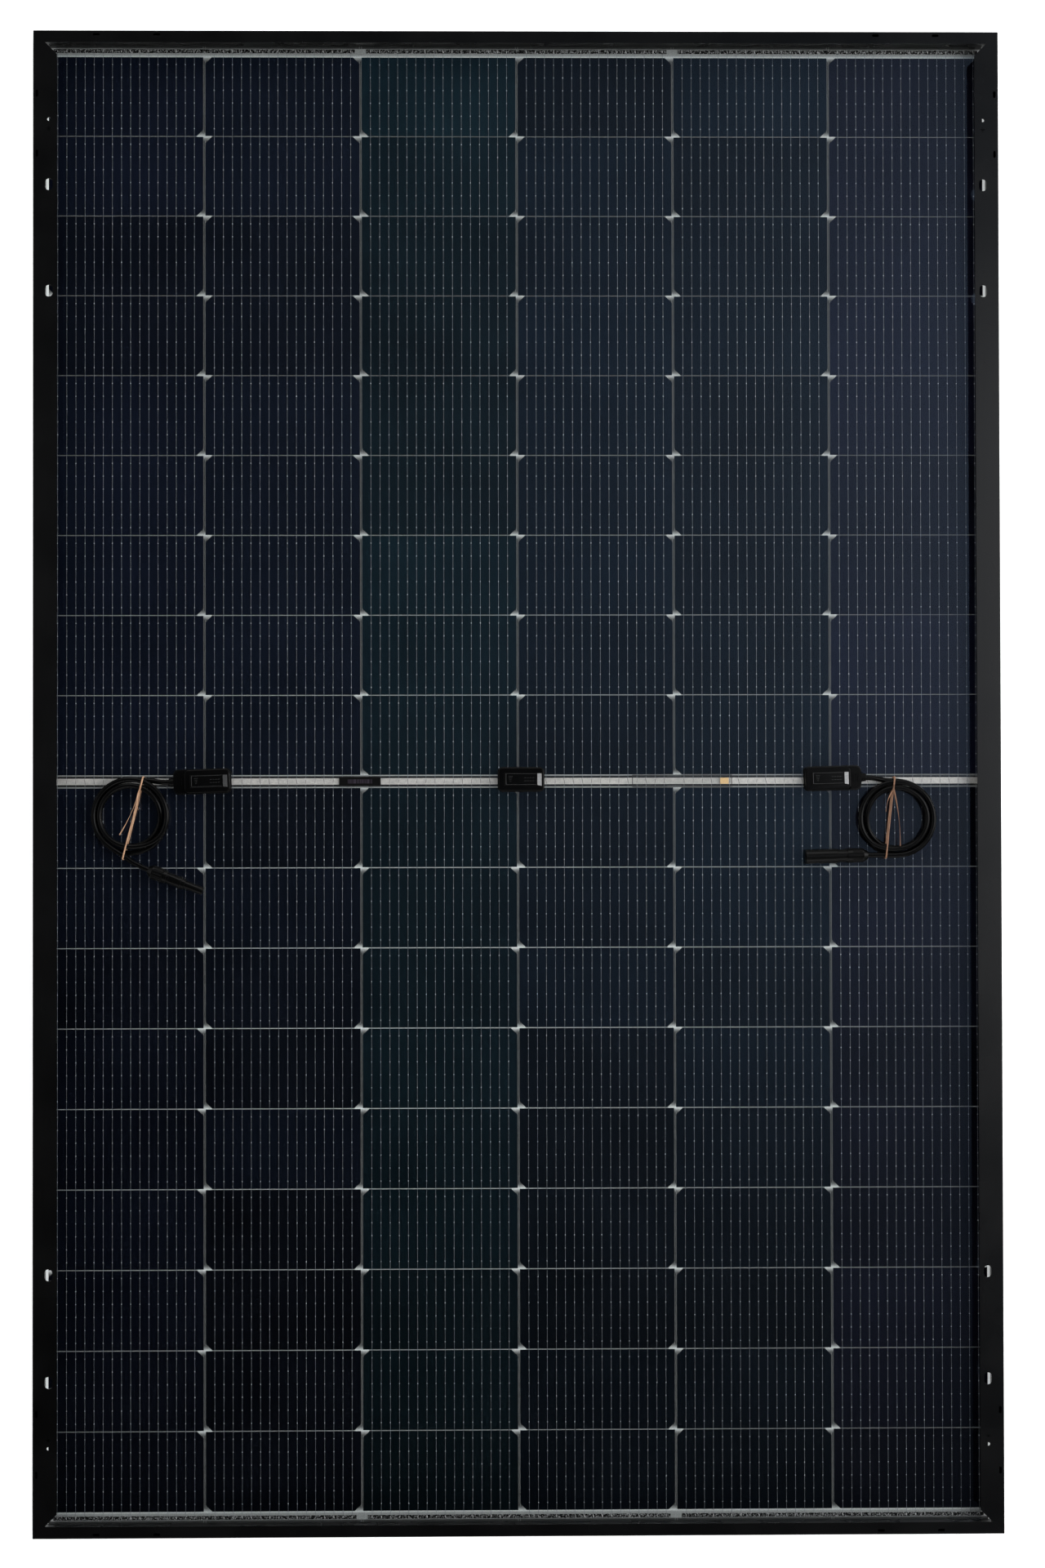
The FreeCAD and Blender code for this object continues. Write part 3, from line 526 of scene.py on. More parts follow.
def from_modifier(mesh: bpy.types.Mesh, configure: object) -> bpy.types.Mesh:
    """Applies modifiers to a mesh through a piece that is then removed.

    Args:
        mesh: The mesh to start from.
        configure: A function that adds the modifiers to the piece it is given.

    Returns:
        The finished mesh.
    """
    piece = linked("working", mesh)
    configure(piece)
    graph = bpy.context.evaluated_depsgraph_get()
    graph.update()
    result = bpy.data.meshes.new_from_object(piece.evaluated_get(graph), depsgraph=graph)
    bpy.data.objects.remove(piece)
    return result


def cleaned_copy(node: str) -> bpy.types.Mesh:
    """A copy of a CAD node's mesh with its loose triangles joined and flat faces merged."""
    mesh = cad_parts[node].data.copy()
    bm = bmesh.new()
    bm.from_mesh(mesh)
    bmesh.ops.remove_doubles(bm, verts=bm.verts, dist=0.002 * MM)
    bmesh.ops.dissolve_limit(
        bm, angle_limit=math.radians(0.5), verts=bm.verts, edges=bm.edges
    )
    bm.to_mesh(mesh)
    bm.free()
    for name in [a.name for a in mesh.attributes if a.name == "custom_normal"]:
        mesh.attributes.remove(mesh.attributes[name])
    mesh.materials.clear()
    return mesh


def softened(
    node: str, width: float, *materials: bpy.types.Material, segments: int = 2
) -> bpy.types.Mesh:
    """A CAD node's shape with its sharp edges rounded.

    Args:
        node: The CAD node.
        width: The rounding, in metres.
        materials: The mesh's materials, the first of which covers it.
        segments: The number of faces across the rounding.

    Returns:
        The rounded mesh, smooth except over its remaining sharp edges.
    """

    def configure(piece: bpy.types.Object) -> None:
        """Adds the rounding and keeps the flat faces flat in their shading."""
        bevel = piece.modifiers.new("rounding", "BEVEL")
        bevel.width = width
        bevel.segments = segments
        bevel.limit_method = "ANGLE"
        bevel.angle_limit = math.radians(32)
        flat = piece.modifiers.new("flat faces", "WEIGHTED_NORMAL")
        flat.weight = 100
        flat.keep_sharp = True

    mesh = cleaned_copy(node)
    mesh.shade_smooth()
    mesh = from_modifier(mesh, configure)
    mesh.materials.clear()
    for material in materials:
        mesh.materials.append(material)
    return mesh


def dress_node(node: str, material: bpy.types.Material) -> None:
    """Gives a CAD node that stays its material."""
    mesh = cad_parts[node].data
    mesh.materials.clear()
    mesh.materials.append(material)


def stand_in(node: str, mesh: bpy.types.Mesh, body: str) -> bpy.types.Object:
    """Puts a detailed piece in the place of one CAD node."""
    piece = place(mesh, node + "_piece", body)
    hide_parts(node)
    return piece


def slab(
    bm: bmesh.types.BMesh, low: Point, high: Point, material: int = 0, inset: float = 0.0
) -> None:
    """Adds a box between two corners, its top drawn in by inset on every side."""
    corners = [
        bm.verts.new((x, y, z))
        for z, shrink in ((low[2], 0.0), (high[2], inset))
        for x, y in (
            (low[0] + shrink, low[1] + shrink),
            (high[0] - shrink, low[1] + shrink),
            (high[0] - shrink, high[1] - shrink),
            (low[0] + shrink, high[1] - shrink),
        )
    ]
    quads = [(3, 2, 1, 0), (4, 5, 6, 7), (0, 1, 5, 4), (1, 2, 6, 5), (2, 3, 7, 6), (3, 0, 4, 7)]
    for quad in quads:
        bm.faces.new([corners[i] for i in quad]).material_index = material


def mesh_of(
    bm: bmesh.types.BMesh, name: str, *materials: bpy.types.Material
) -> bpy.types.Mesh:
    """Turns a bmesh into a mesh with those materials and frees it."""
    mesh = bpy.data.meshes.new(name)
    bmesh.ops.recalc_face_normals(bm, faces=bm.faces)
    bm.to_mesh(mesh)
    bm.free()
    for material in materials:
        mesh.materials.append(material)
    return mesh


def swept(
    bm: bmesh.types.BMesh,
    path: list[Vector],
    section: list[tuple[float, float]],
    across: Vector,
    closed: bool = False,
    material: int = 0,
    twist: float = 0.0,
) -> None:
    """Sweeps a closed section along a path.

    Args:
        bm: The bmesh that the faces go into.
        path: Points along the sweep, in the row frame.
        section: Points of the section, as distances along across and along its other axis.
        across: The direction that the section's first axis keeps nearest to.
        closed: True to join the path's end to its start.
        material: The faces' material slot.
        twist: Turns of the section over the whole path.
    """
    count, rings = len(path), []
    for i, point in enumerate(path):
        before = path[i - 1] if i or closed else point
        after = path[(i + 1) % count] if i < count - 1 or closed else point
        along = (after - before).normalized()
        first = (across - along * across.dot(along)).normalized()
        first = Matrix.Rotation(2 * math.pi * twist * i / count, 3, along) @ first
        second = along.cross(first)
        rings.append([bm.verts.new(point + first * a + second * b) for a, b in section])
    size = len(section)
    spans = list(zip(rings, rings[1:])) + ([(rings[-1], rings[0])] if closed else [])
    for one, two in spans:
        for j in range(size):
            k = (j + 1) % size
            face = bm.faces.new((one[j], one[k], two[k], two[j]))
            face.material_index = material
            face.smooth = True
    if not closed:
        for ring in (rings[0][::-1], rings[-1]):
            bm.faces.new(ring).material_index = material


def round_section(radius: float, count: int = 8) -> list[tuple[float, float]]:
    """A circle's points, for a sweep."""
    step = 2 * math.pi / count
    return [(radius * math.cos(step * i), radius * math.sin(step * i)) for i in range(count)]


# Geometry node trees


class Tree(Nodes):
    """A geometry node tree that is built in the script, with named inputs."""

    family = "GeometryNode"

    def __init__(self, name: str) -> None:
        """Starts a tree with a geometry input and output."""
        super().__init__(bpy.data.node_groups.new(name, "GeometryNodeTree"))
        for way in ("INPUT", "OUTPUT"):
            self.tree.interface.new_socket(
                "Geometry", in_out=way, socket_type="NodeSocketGeometry"
            )
        self.entry = self.tree.nodes.new("NodeGroupInput")
        self.exit = self.tree.nodes.new("NodeGroupOutput")
        self.identifiers: dict[str, str] = {}

    def value(self, name: str, kind: str, default: object = None) -> bpy.types.NodeSocket:
        """Adds a named input.

        Args:
            name: The input's name.
            kind: Float, Int, Vector or Material.
            default: Its default, or None.

        Returns:
            The socket that gives it inside the tree.
        """
        item = self.tree.interface.new_socket(
            name, in_out="INPUT", socket_type="NodeSocket" + kind
        )
        if default is not None:
            item.default_value = default
        self.identifiers[name] = item.identifier
        return self.entry.outputs[name]

    def vector(self, x: object = 0.0, y: object = 0.0, z: object = 0.0) -> bpy.types.NodeSocket:
        """Joins three numbers into a vector."""
        return self.node("ShaderNodeCombineXYZ", {0: x, 1: y, 2: z}).outputs[0]

    def random(self, low: float, high: float, seed: object) -> bpy.types.NodeSocket:
        """A random number for each point or instance."""
        inputs = {2: low, 3: high, "Seed": seed}
        return self.node("FunctionNodeRandomValue", inputs, data_type="FLOAT").outputs[1]

    def line(self, count: object, start: object, step: object) -> bpy.types.NodeSocket:
        """A row of points."""
        return self.add("MeshLine", Count=count, Start_Location=start, Offset=step).outputs[0]

    def middle_row(self, count: object, pitch: object) -> bpy.types.NodeSocket:
        """A row of points along X that is centred on X = 0."""
        start = self.times(self.math("SUBTRACT", count, 1.0), self.times(pitch, -0.5))
        return self.line(count, self.vector(start), self.vector(pitch))

    def ball(self, segments: int, rings: int, size: object) -> bpy.types.NodeSocket:
        """A ball of radius 1 that is scaled to a size."""
        ball = self.add("MeshUVSphere", Segments=segments, Rings=rings, Radius=1.0).outputs[0]
        return self.add("Transform", Geometry=ball, Scale=size).outputs[0]

    def repeat(self, points: object, shape: object, scale: object = None) -> object:
        """Puts the shape on every point, scaled there if asked."""
        inputs = {"Points": points, "Instance": shape}
        if scale is not None:
            inputs["Scale"] = scale
        return self.node("GeometryNodeInstanceOnPoints", inputs).outputs[0]

    def realize(self, geometry: object) -> bpy.types.NodeSocket:
        """Makes instances real."""
        return self.add("RealizeInstances", Geometry=geometry).outputs[0]

    def join(self, *geometries: object) -> bpy.types.NodeSocket:
        """Joins geometries."""
        node = self.add("JoinGeometry")
        for geometry in geometries:
            self.tree.links.new(geometry, node.inputs[0])
        return node.outputs[0]

    def store(
        self, geometry: object, name: str, value: object, kind: str, domain: str
    ) -> bpy.types.NodeSocket:
        """Stores a named attribute on the geometry."""
        inputs = {"Geometry": geometry, "Name": name, "Value": value}
        kind_of = {"data_type": kind, "domain": domain}
        return self.node("GeometryNodeStoreNamedAttribute", inputs, **kind_of).outputs[0]

    def paint(self, geometry: object, material: object, kind: int | None = None) -> object:
        """Sets the material, of the faces whose kind attribute is that number where given."""
        inputs = {"Geometry": geometry, "Material": material}
        if kind is not None:
            named = self.node("GeometryNodeInputNamedAttribute", {"Name": "kind"}, data_type="INT")
            both = {2: named.outputs["Attribute"], 3: kind}
            same = self.node("FunctionNodeCompare", both, data_type="INT", operation="EQUAL")
            inputs["Selection"] = same.outputs[0]
        return self.node("GeometryNodeSetMaterial", inputs).outputs[0]

    def finish(self, geometry: object) -> None:
        """Links the last geometry to the tree's output."""
        self.tree.links.new(geometry, self.exit.inputs[0])

    def grown(self, mesh: bpy.types.Mesh, **values: object) -> bpy.types.Mesh:
        """Runs the tree on a mesh.

        Args:
            mesh: The geometry that goes in.
            values: Inputs by name, with underscores for spaces.

        Returns:
            The result as a plain mesh.
        """

        def configure(piece: bpy.types.Object) -> None:
            """Adds the tree and sets its inputs by their identifiers."""
            modifier = piece.modifiers.new(self.tree.name, "NODES")
            modifier.node_group = self.tree
            for name, value in values.items():
                modifier[self.identifiers[name.replace("_", " ")]] = value

        return from_modifier(mesh, configure)


# The studio


@dataclass
class Studio:
    """The camera, the lights and the pale floor."""

    camera_at: tuple[float, float, float] = (-0.03347, -0.04365, 2.99976)
    camera_turn: tuple[float, float, float] = (0.01345, -0.01297, -0.002)
    lens: float = 58.27
    floor_size: float = 60.0
    softbox_size: tuple[float, float] = (2.2, 4.5)
    end_size: tuple[float, float] = (4.0, 2.0)
    side_powers: tuple[float, float] = (17.0, 145.0)
    end_powers: tuple[float, float] = (55.0, 80.0)
    floor_glow: float = 0.62
    glow_towards: tuple[float, float, float] = (0.28, 0.14, 0.95)
    glow: tuple[float, float, float] = (0.36, 0.5, 0.73)
    glow_reach: float = 0.56
    glow_fall: float = 2.2
    wall_top: tuple[float, float] = (0.72, 0.45)

    def camera(self) -> None:
        """Looks down on the module's rear from above its middle."""
        data = bpy.data.cameras.new("camera")
        data.lens, data.sensor_width, data.clip_end = self.lens, 36.0, 200.0
        eye = linked("camera", data)
        turn = Vector(self.camera_turn)
        rotation = Matrix.Rotation(turn.length, 4, turn.normalized())
        eye.matrix_world = Matrix.Translation(self.camera_at) @ rotation
        bpy.context.scene.camera = eye

    def floor(self) -> None:
        """Lays the pale floor."""
        s = Shader("pale floor")
        material = s.glossed(
            Base_Color=s.blend(s.noise(2.0, 3.0), grey(0.86), grey(0.9)),
            Roughness=0.9,
            Specular_IOR_Level=0.1,
            Emission_Color=grey(1.0),
            Emission_Strength=self.floor_glow,
        )
        bm = bmesh.new()
        bmesh.ops.create_grid(bm, x_segments=2, y_segments=2, size=self.floor_size / 2)
        piece = linked("floor", mesh_of(bm, "floor", material))
        piece.location.z = -0.5 * MM

    def softbox(self, name: str, at: Vector, size: tuple[float, float], power: float) -> None:
        """Hangs a soft light at a point, facing the module."""
        data = bpy.data.lights.new(name, "AREA")
        data.shape, data.size, data.size_y = "RECTANGLE", size[0], size[1]
        data.energy = power
        facing = (-at).to_track_quat("-Z", "Y")
        linked(name, data).matrix_world = Matrix.Translation(at) @ facing.to_matrix().to_4x4()

    def lights(self) -> None:
        """Hangs two long soft lights beside the module and one beyond each end."""
        for x, power in zip((-2.9, 2.9), self.side_powers):
            self.softbox("side_light", Vector((x, 0.4, 2.3)), self.softbox_size, power)
        for y, power in zip((-3.9, 3.9), self.end_powers):
            self.softbox("end_light", Vector((0, y, 2.3)), self.end_size, power)

    def world(self) -> None:
        """A room with pale walls and a dark ceiling that glows faintly round one spot."""
        world = bpy.data.worlds.new("room")
        bpy.context.scene.world = world
        world.use_nodes = True
        n = Nodes(world.node_tree)
        towards = n.add("TexCoord").outputs["Generated"]
        near = n.ramp(n.distance(towards, self.glow_towards), 0.0, self.glow_reach, 1.0, 0.0)
        ceiling = n.scaled(self.glow, n.math("POWER", near, self.glow_fall))
        height = n.add("SeparateXYZ", Vector=towards).outputs[2]
        room = n.blend(n.ramp(height, *self.wall_top, 0.0, 1.0), ceiling, grey(1.0))
        background = n.tree.nodes["Background"]
        n.tree.links.new(room, background.inputs["Color"])
        background.inputs["Strength"].default_value = 1.0

    def build(self) -> None:
        """Builds the studio."""
        self.camera()
        self.floor()
        self.lights()
        self.world()
        bpy.context.scene.view_settings.view_transform = "Standard"
        LOG.info("studio ready")


# Leads


@dataclass
class Lead:
    """One lead: from its box through a coil to its connector, and the tie round the coil."""

    side: Side
    exit_route: list[tuple[float, float, float]]
    coil_at: tuple[float, float]
    turns: float
    tail_route: list[tuple[float, float, float]]
    length: float
    tie_degrees: float
    tie_reach: tuple[float, float]
    tie_shift: float
    free_end: tuple[float, float]
    tie_finish: str
    diameter: float = 6.0 * MM
    outer: float = 43.0 * MM
    inner: float = 35.8 * MM
    lower: float = 10.65 * MM
    upper: float = 16.95 * MM
    points_per_turn: int = 16
    glass: float = 7.0 * MM

    @property
    def name(self) -> str:
        """The lead's side in words."""
        return self.side.name.lower()

    def coil_points(self) -> list[Vector]:
        """The coil's control points: out low, in low, in high, then out high."""
        swell = 1 / math.cos(math.pi / self.points_per_turn)
        count = round(self.turns * self.points_per_turn)
        points = []
        for i in range(count + 1):
            turn = self.turns * i / count
            inward = smooth(turn, 0.80, 0.97) - smooth(turn, 2.50, 2.68)
            radius = self.outer + (self.inner - self.outer) * inward
            radius += 0.45 * MM * math.sin(2.3 * math.pi * turn + self.side.value)
            height = self.lower + (self.upper - self.lower) * smooth(turn, 1.64, 1.84)
            angle = math.pi / 2 - self.side.value * 2 * math.pi * turn
            x = self.coil_at[0] + swell * radius * math.cos(angle)
            y = self.coil_at[1] + swell * radius * math.sin(angle)
            points.append(Vector((x, y, height)))
        return points

    def cable(self, finishes: Finishes) -> bpy.types.Object:
        points = [Vector(p) * MM for p in self.exit_route] + self.coil_points()
        points += [Vector(p) * MM for p in self.tail_route]
        curve = bpy.data.curves.new(self.name + "_lead", "CURVE")
        curve.dimensions = "3D"
        spline = curve.splines.new("NURBS")
        spline.points.add(len(points) - 1)
        for spot, point in zip(spline.points, points):
            spot.co = (*point, 1.0)
        spline.order_u = 3
        spline.use_endpoint_u = True
        spline.resolution_u = 6
        curve.bevel_depth = self.diameter / 2
        curve.bevel_resolution = 5
        curve.use_fill_caps = True
        curve.materials.append(finishes["cable"])
        piece = place(curve, self.name + "_lead_cable", BODY)
        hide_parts(*(f"{self.name}_lead_{part}" for part in ("exit", "coil", "tail")))
        return piece

    def tie(self, finishes: Finishes) -> bpy.types.Object:
        """Wraps the twist tie round the coil, with its knot and its two free ends."""
        top = self.upper + self.diameter / 2 + 0.5 * MM
        head, foot = self.tie_reach[0] * MM, -self.tie_reach[1] * MM
        inside = self.inner - self.diameter / 2
        loop = [
            (head, self.glass + 0.8 * MM), (head + 0.1 * MM, top - 3 * MM),
            (head - 1.4 * MM, top), (inside + 6 * MM, top + 0.1 * MM),
            (inside - 3 * MM, top - 1.2 * MM), (8 * MM, top - 3.2 * MM),
            (-14 * MM, top - 2.6 * MM), (3 * MM - inside, top - 0.6 * MM),
            (-inside - 6 * MM, top + 0.1 * MM), (foot + 1.4 * MM, top),
            (foot - 0.1 * MM, top - 3 * MM), (foot, self.glass + 0.8 * MM),
            (foot + 3 * MM, self.glass + 0.27 * MM), (head - 3 * MM, self.glass + 0.27 * MM),
        ]
        bm = bmesh.new()
        flat = [(-0.95, 0), (-0.4, 0.2), (0, 0.32), (0.4, 0.2), (0.95, 0), (0, -0.2)]
        section = [(a * MM, b * MM) for a, b in flat]
        path = [Vector((0, y, z)) for y, z in smooth_loop(loop)]
        swept(bm, path, section, Vector((1, 0, 0)), closed=True)
        knot_y, strand = head - 15 * MM, 0.55 * MM
        for phase in (0.0, math.pi):
            knot = []
            for i in range(19):
                a = phase + 2 * math.pi * i / 6
                y, z = knot_y - 3.4 * MM + i * 0.42 * MM, top + 0.9 * MM
                knot.append(Vector((strand * math.cos(a), y, z + strand * math.sin(a))))
            swept(bm, knot, round_section(strand, 6), Vector((0, 0, 1)))
        for side, reach, rise in ((1, 1.0, 0.0), (-1, 0.42, 0.9)):
            end = Vector((side * self.free_end[0] * MM, self.free_end[1] * MM, 0)) * reach
            free = []
            for i in range(13):
                t = i / 12
                bow = math.sin(math.pi * t) * 2.2 * MM * side
                z = top + 0.8 * MM + (rise * t - 0.5 * t * (1 - t)) * MM
                free.append(Vector((end.x * t + bow, knot_y + end.y * t, z)))
            swept(bm, free, section, Vector((1, 0, 0.2)), twist=0.4 * side)
        mesh = mesh_of(bm, self.name + "_tie", finishes[self.tie_finish])
        turn = Matrix.Rotation(math.radians(self.tie_degrees), 4, "Z")
        shift = Matrix.Translation((self.tie_shift, 0, 0))
        mesh.transform(Matrix.Translation((*self.coil_at, 0)) @ turn @ shift)
        piece = place(mesh, self.name + "_tie_piece", BODY)
        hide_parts(self.name + "_lead_tie")
        return piece

    def build(self, finishes: Finishes, connector: list[bpy.types.Object]) -> None:
        """Args:
            finishes: The materials.
            connector: The connector's pieces; not used.
        """
        cable = self.cable(finishes)
        tie = self.tie(finishes)
        tuple(Vector(self.exit_route[0]).lerp(Vector(self.exit_route[1]), 0.8) * MM)
        LOG.info("%s lead, %.2f m", self.name, self.length)


def smooth(value: float, low: float, high: float) -> float:
    """0 below low, 1 above high and an even curve between."""
    t = min(max((value - low) / (high - low), 0.0), 1.0)
    return t * t * (3 - 2 * t)


def smooth_loop(points: list[tuple[float, float]], rounds: int = 2) -> list[tuple[float, float]]:
    """A closed loop with its corners cut again and again until they are round."""
    for _ in range(rounds):
        cut = []
        for (a, b), (c, d) in zip(points, points[1:] + points[:1]):
            cut.append((a * 0.75 + c * 0.25, b * 0.75 + d * 0.25))
            cut.append((a * 0.25 + c * 0.75, b * 0.25 + d * 0.75))
        points = cut
    return points


@dataclass
class Connector:
    """A plug or socket connector, with its cap nut and its contact."""

    kind: str
    cap_body: str
    rounding: float = 0.35 * MM

    def build(self, finishes: Finishes) -> list[bpy.types.Object]:
        """Builds the connector's pieces and returns them."""
        dress_node(self.kind + "_contact", finishes["copper"])
        pieces = []
        for part, body in (("body", BODY), ("nut", self.cap_body)):
            node = f"{self.kind}_{part}"
            mesh = softened(node, self.rounding, finishes["connector"])
            pieces.append(stand_in(node, mesh, body))
        LOG.info("%s connector", self.kind)
        return pieces + [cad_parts[self.kind + "_contact"]]


# Cells and ribbons


@dataclass
class CellField:
    """The twelve strings of half-cells, with their wires and solder pads."""

    columns: int = 6
    rows: int = 9
    cell_height: float = 93.5 * MM
    row_pitch: float = 94.5 * MM
    middle_gap: float = 15.4 * MM
    chamfer: float = 7.5 * MM
    thickness: float = 0.15 * MM
    wires: int = 16
    wire_pitch: float = 10.75 * MM
    wire_radius: float = 0.2 * MM
    pads: int = 6
    pad_pitch: float = 15.2 * MM
    pad_size: tuple[float, float, float] = (0.55 * MM, 0.95 * MM, 0.16 * MM)
    tints: tuple[float, float] = (-0.35, 0.45)
    hues: tuple[float, ...] = (0.45, 0.5, 0.85, 0.6, 0.62, 0.22)

    def half_cell(self, width: float, cut_low: bool) -> bpy.types.Mesh:
        """One half-cell's plate from y = 0 up, with two corners cut."""
        half, k, h = width / 2, self.chamfer, self.cell_height
        outline = [(-half + k, 0), (half - k, 0), (half, k), (half, h), (-half, h), (-half, k)]
        if not cut_low:
            outline = [(-x, h - y) for x, y in outline]
        bm = bmesh.new()
        face = bm.faces.new([bm.verts.new((x, y, 0)) for x, y in outline])
        lifted = bmesh.ops.extrude_face_region(bm, geom=[face])
        moved = [v for v in lifted["geom"] if isinstance(v, bmesh.types.BMVert)]
        bmesh.ops.translate(bm, verts=moved, vec=(0, 0, self.thickness))
        return mesh_of(bm, "half_cell")

    def tree(self) -> Tree:
        """The tree that lays out one string from its half-cell."""
        t = Tree("cell_string")
        rows = t.value("Rows", "Int", self.rows)
        pitch = t.value("Row pitch", "Float", self.row_pitch)
        start = t.value("First row", "Float", 0.0)
        wires = t.value("Wires", "Int", self.wires)
        wire_pitch = t.value("Wire pitch", "Float", self.wire_pitch)
        wire_from = t.value("Wire from", "Float", 0.0)
        wire_to = t.value("Wire to", "Float", 1.0)
        radius = t.value("Wire radius", "Float", self.wire_radius)
        pads = t.value("Pads", "Int", self.pads)
        pad_pitch = t.value("Pad pitch", "Float", self.pad_pitch)
        pad_size = t.value("Pad size", "Vector", self.pad_size)
        level = t.value("Cell top", "Float", self.thickness)
        hue = t.value("Hue", "Float", 0.5)
        seed = t.value("Seed", "Int", 1)
        cell_finish, wire_finish, pad_finish = (
            t.value(f"{what} finish", "Material") for what in ("Cell", "Wire", "Pad")
        )

        column = t.line(rows, t.vector(0.0, start), t.vector(0.0, pitch))
        cells = t.repeat(column, t.entry.outputs["Geometry"])
        shade = t.random(*self.tints, seed)
        cells = t.realize(t.store(cells, "tint", shade, "FLOAT", "INSTANCE"))

        row = t.middle_row(wires, wire_pitch)
        first, last = (t.vector(0.0, y, level) for y in (wire_from, wire_to))
        run = t.add("CurvePrimitiveLine", Start=first, End=last).outputs[0]
        ring = t.add("CurvePrimitiveCircle", Resolution=8, Radius=radius).outputs[0]
        wire = t.add("CurveToMesh", Curve=run, Profile_Curve=ring, Fill_Caps=True).outputs[0]
        strands = t.realize(t.repeat(row, wire))

        spread = t.times(t.math("SUBTRACT", pads, 1.0), pad_pitch)
        middle = t.math("ADD", start, self.cell_height / 2)
        lowest = t.math("SUBTRACT", middle, t.times(spread, 0.5))
        first_cell = t.line(pads, t.vector(0.0, lowest, level), t.vector(0.0, pad_pitch))
        repeats = t.line(rows, t.vector(0.0, 0.0), t.vector(0.0, pitch))
        spots = t.realize(t.repeat(row, t.realize(t.repeat(repeats, first_cell))))
        dots = t.realize(t.repeat(spots, t.ball(6, 4, pad_size)))

        kinds = [
            t.store(part, "kind", kind, "INT", "FACE")
            for kind, part in enumerate((cells, strands, dots))
        ]
        made = t.store(t.realize(t.join(*kinds)), "hue", hue, "FLOAT", "POINT")
        made = t.paint(made, cell_finish)
        made = t.paint(made, wire_finish, 1)
        t.finish(t.paint(made, pad_finish, 2))
        return t

    def build(self, finishes: Finishes) -> None:
        """Builds one piece for each string, over its CAD node."""
        tree = self.tree()
        for column in range(self.columns):
            for half in Half:
                node = f"cell_string_{column + 1}_{half.name.lower()}"
                low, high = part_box(node)
                upper = half is Half.UPPER
                cut_low = (column % 2 == 0) == upper
                length = (self.rows - 1) * self.row_pitch + self.cell_height
                first = self.middle_gap / 2 if upper else -self.middle_gap / 2 - length
                mesh = tree.grown(
                    self.half_cell(high.x - low.x, cut_low),
                    First_row=first,
                    Wire_from=low.y,
                    Wire_to=high.y,
                    Hue=self.hues[column],
                    Seed=column * 7 + (3 if upper else 0),
                    Cell_finish=finishes["cell"],
                    Wire_finish=finishes["wire"],
                    Pad_finish=finishes["pad"],
                )
                mesh.transform(Matrix.Translation(((low.x + high.x) / 2, 0, low.z)))
                stand_in(node, mesh, BODY)
                LOG.info("%s", node)


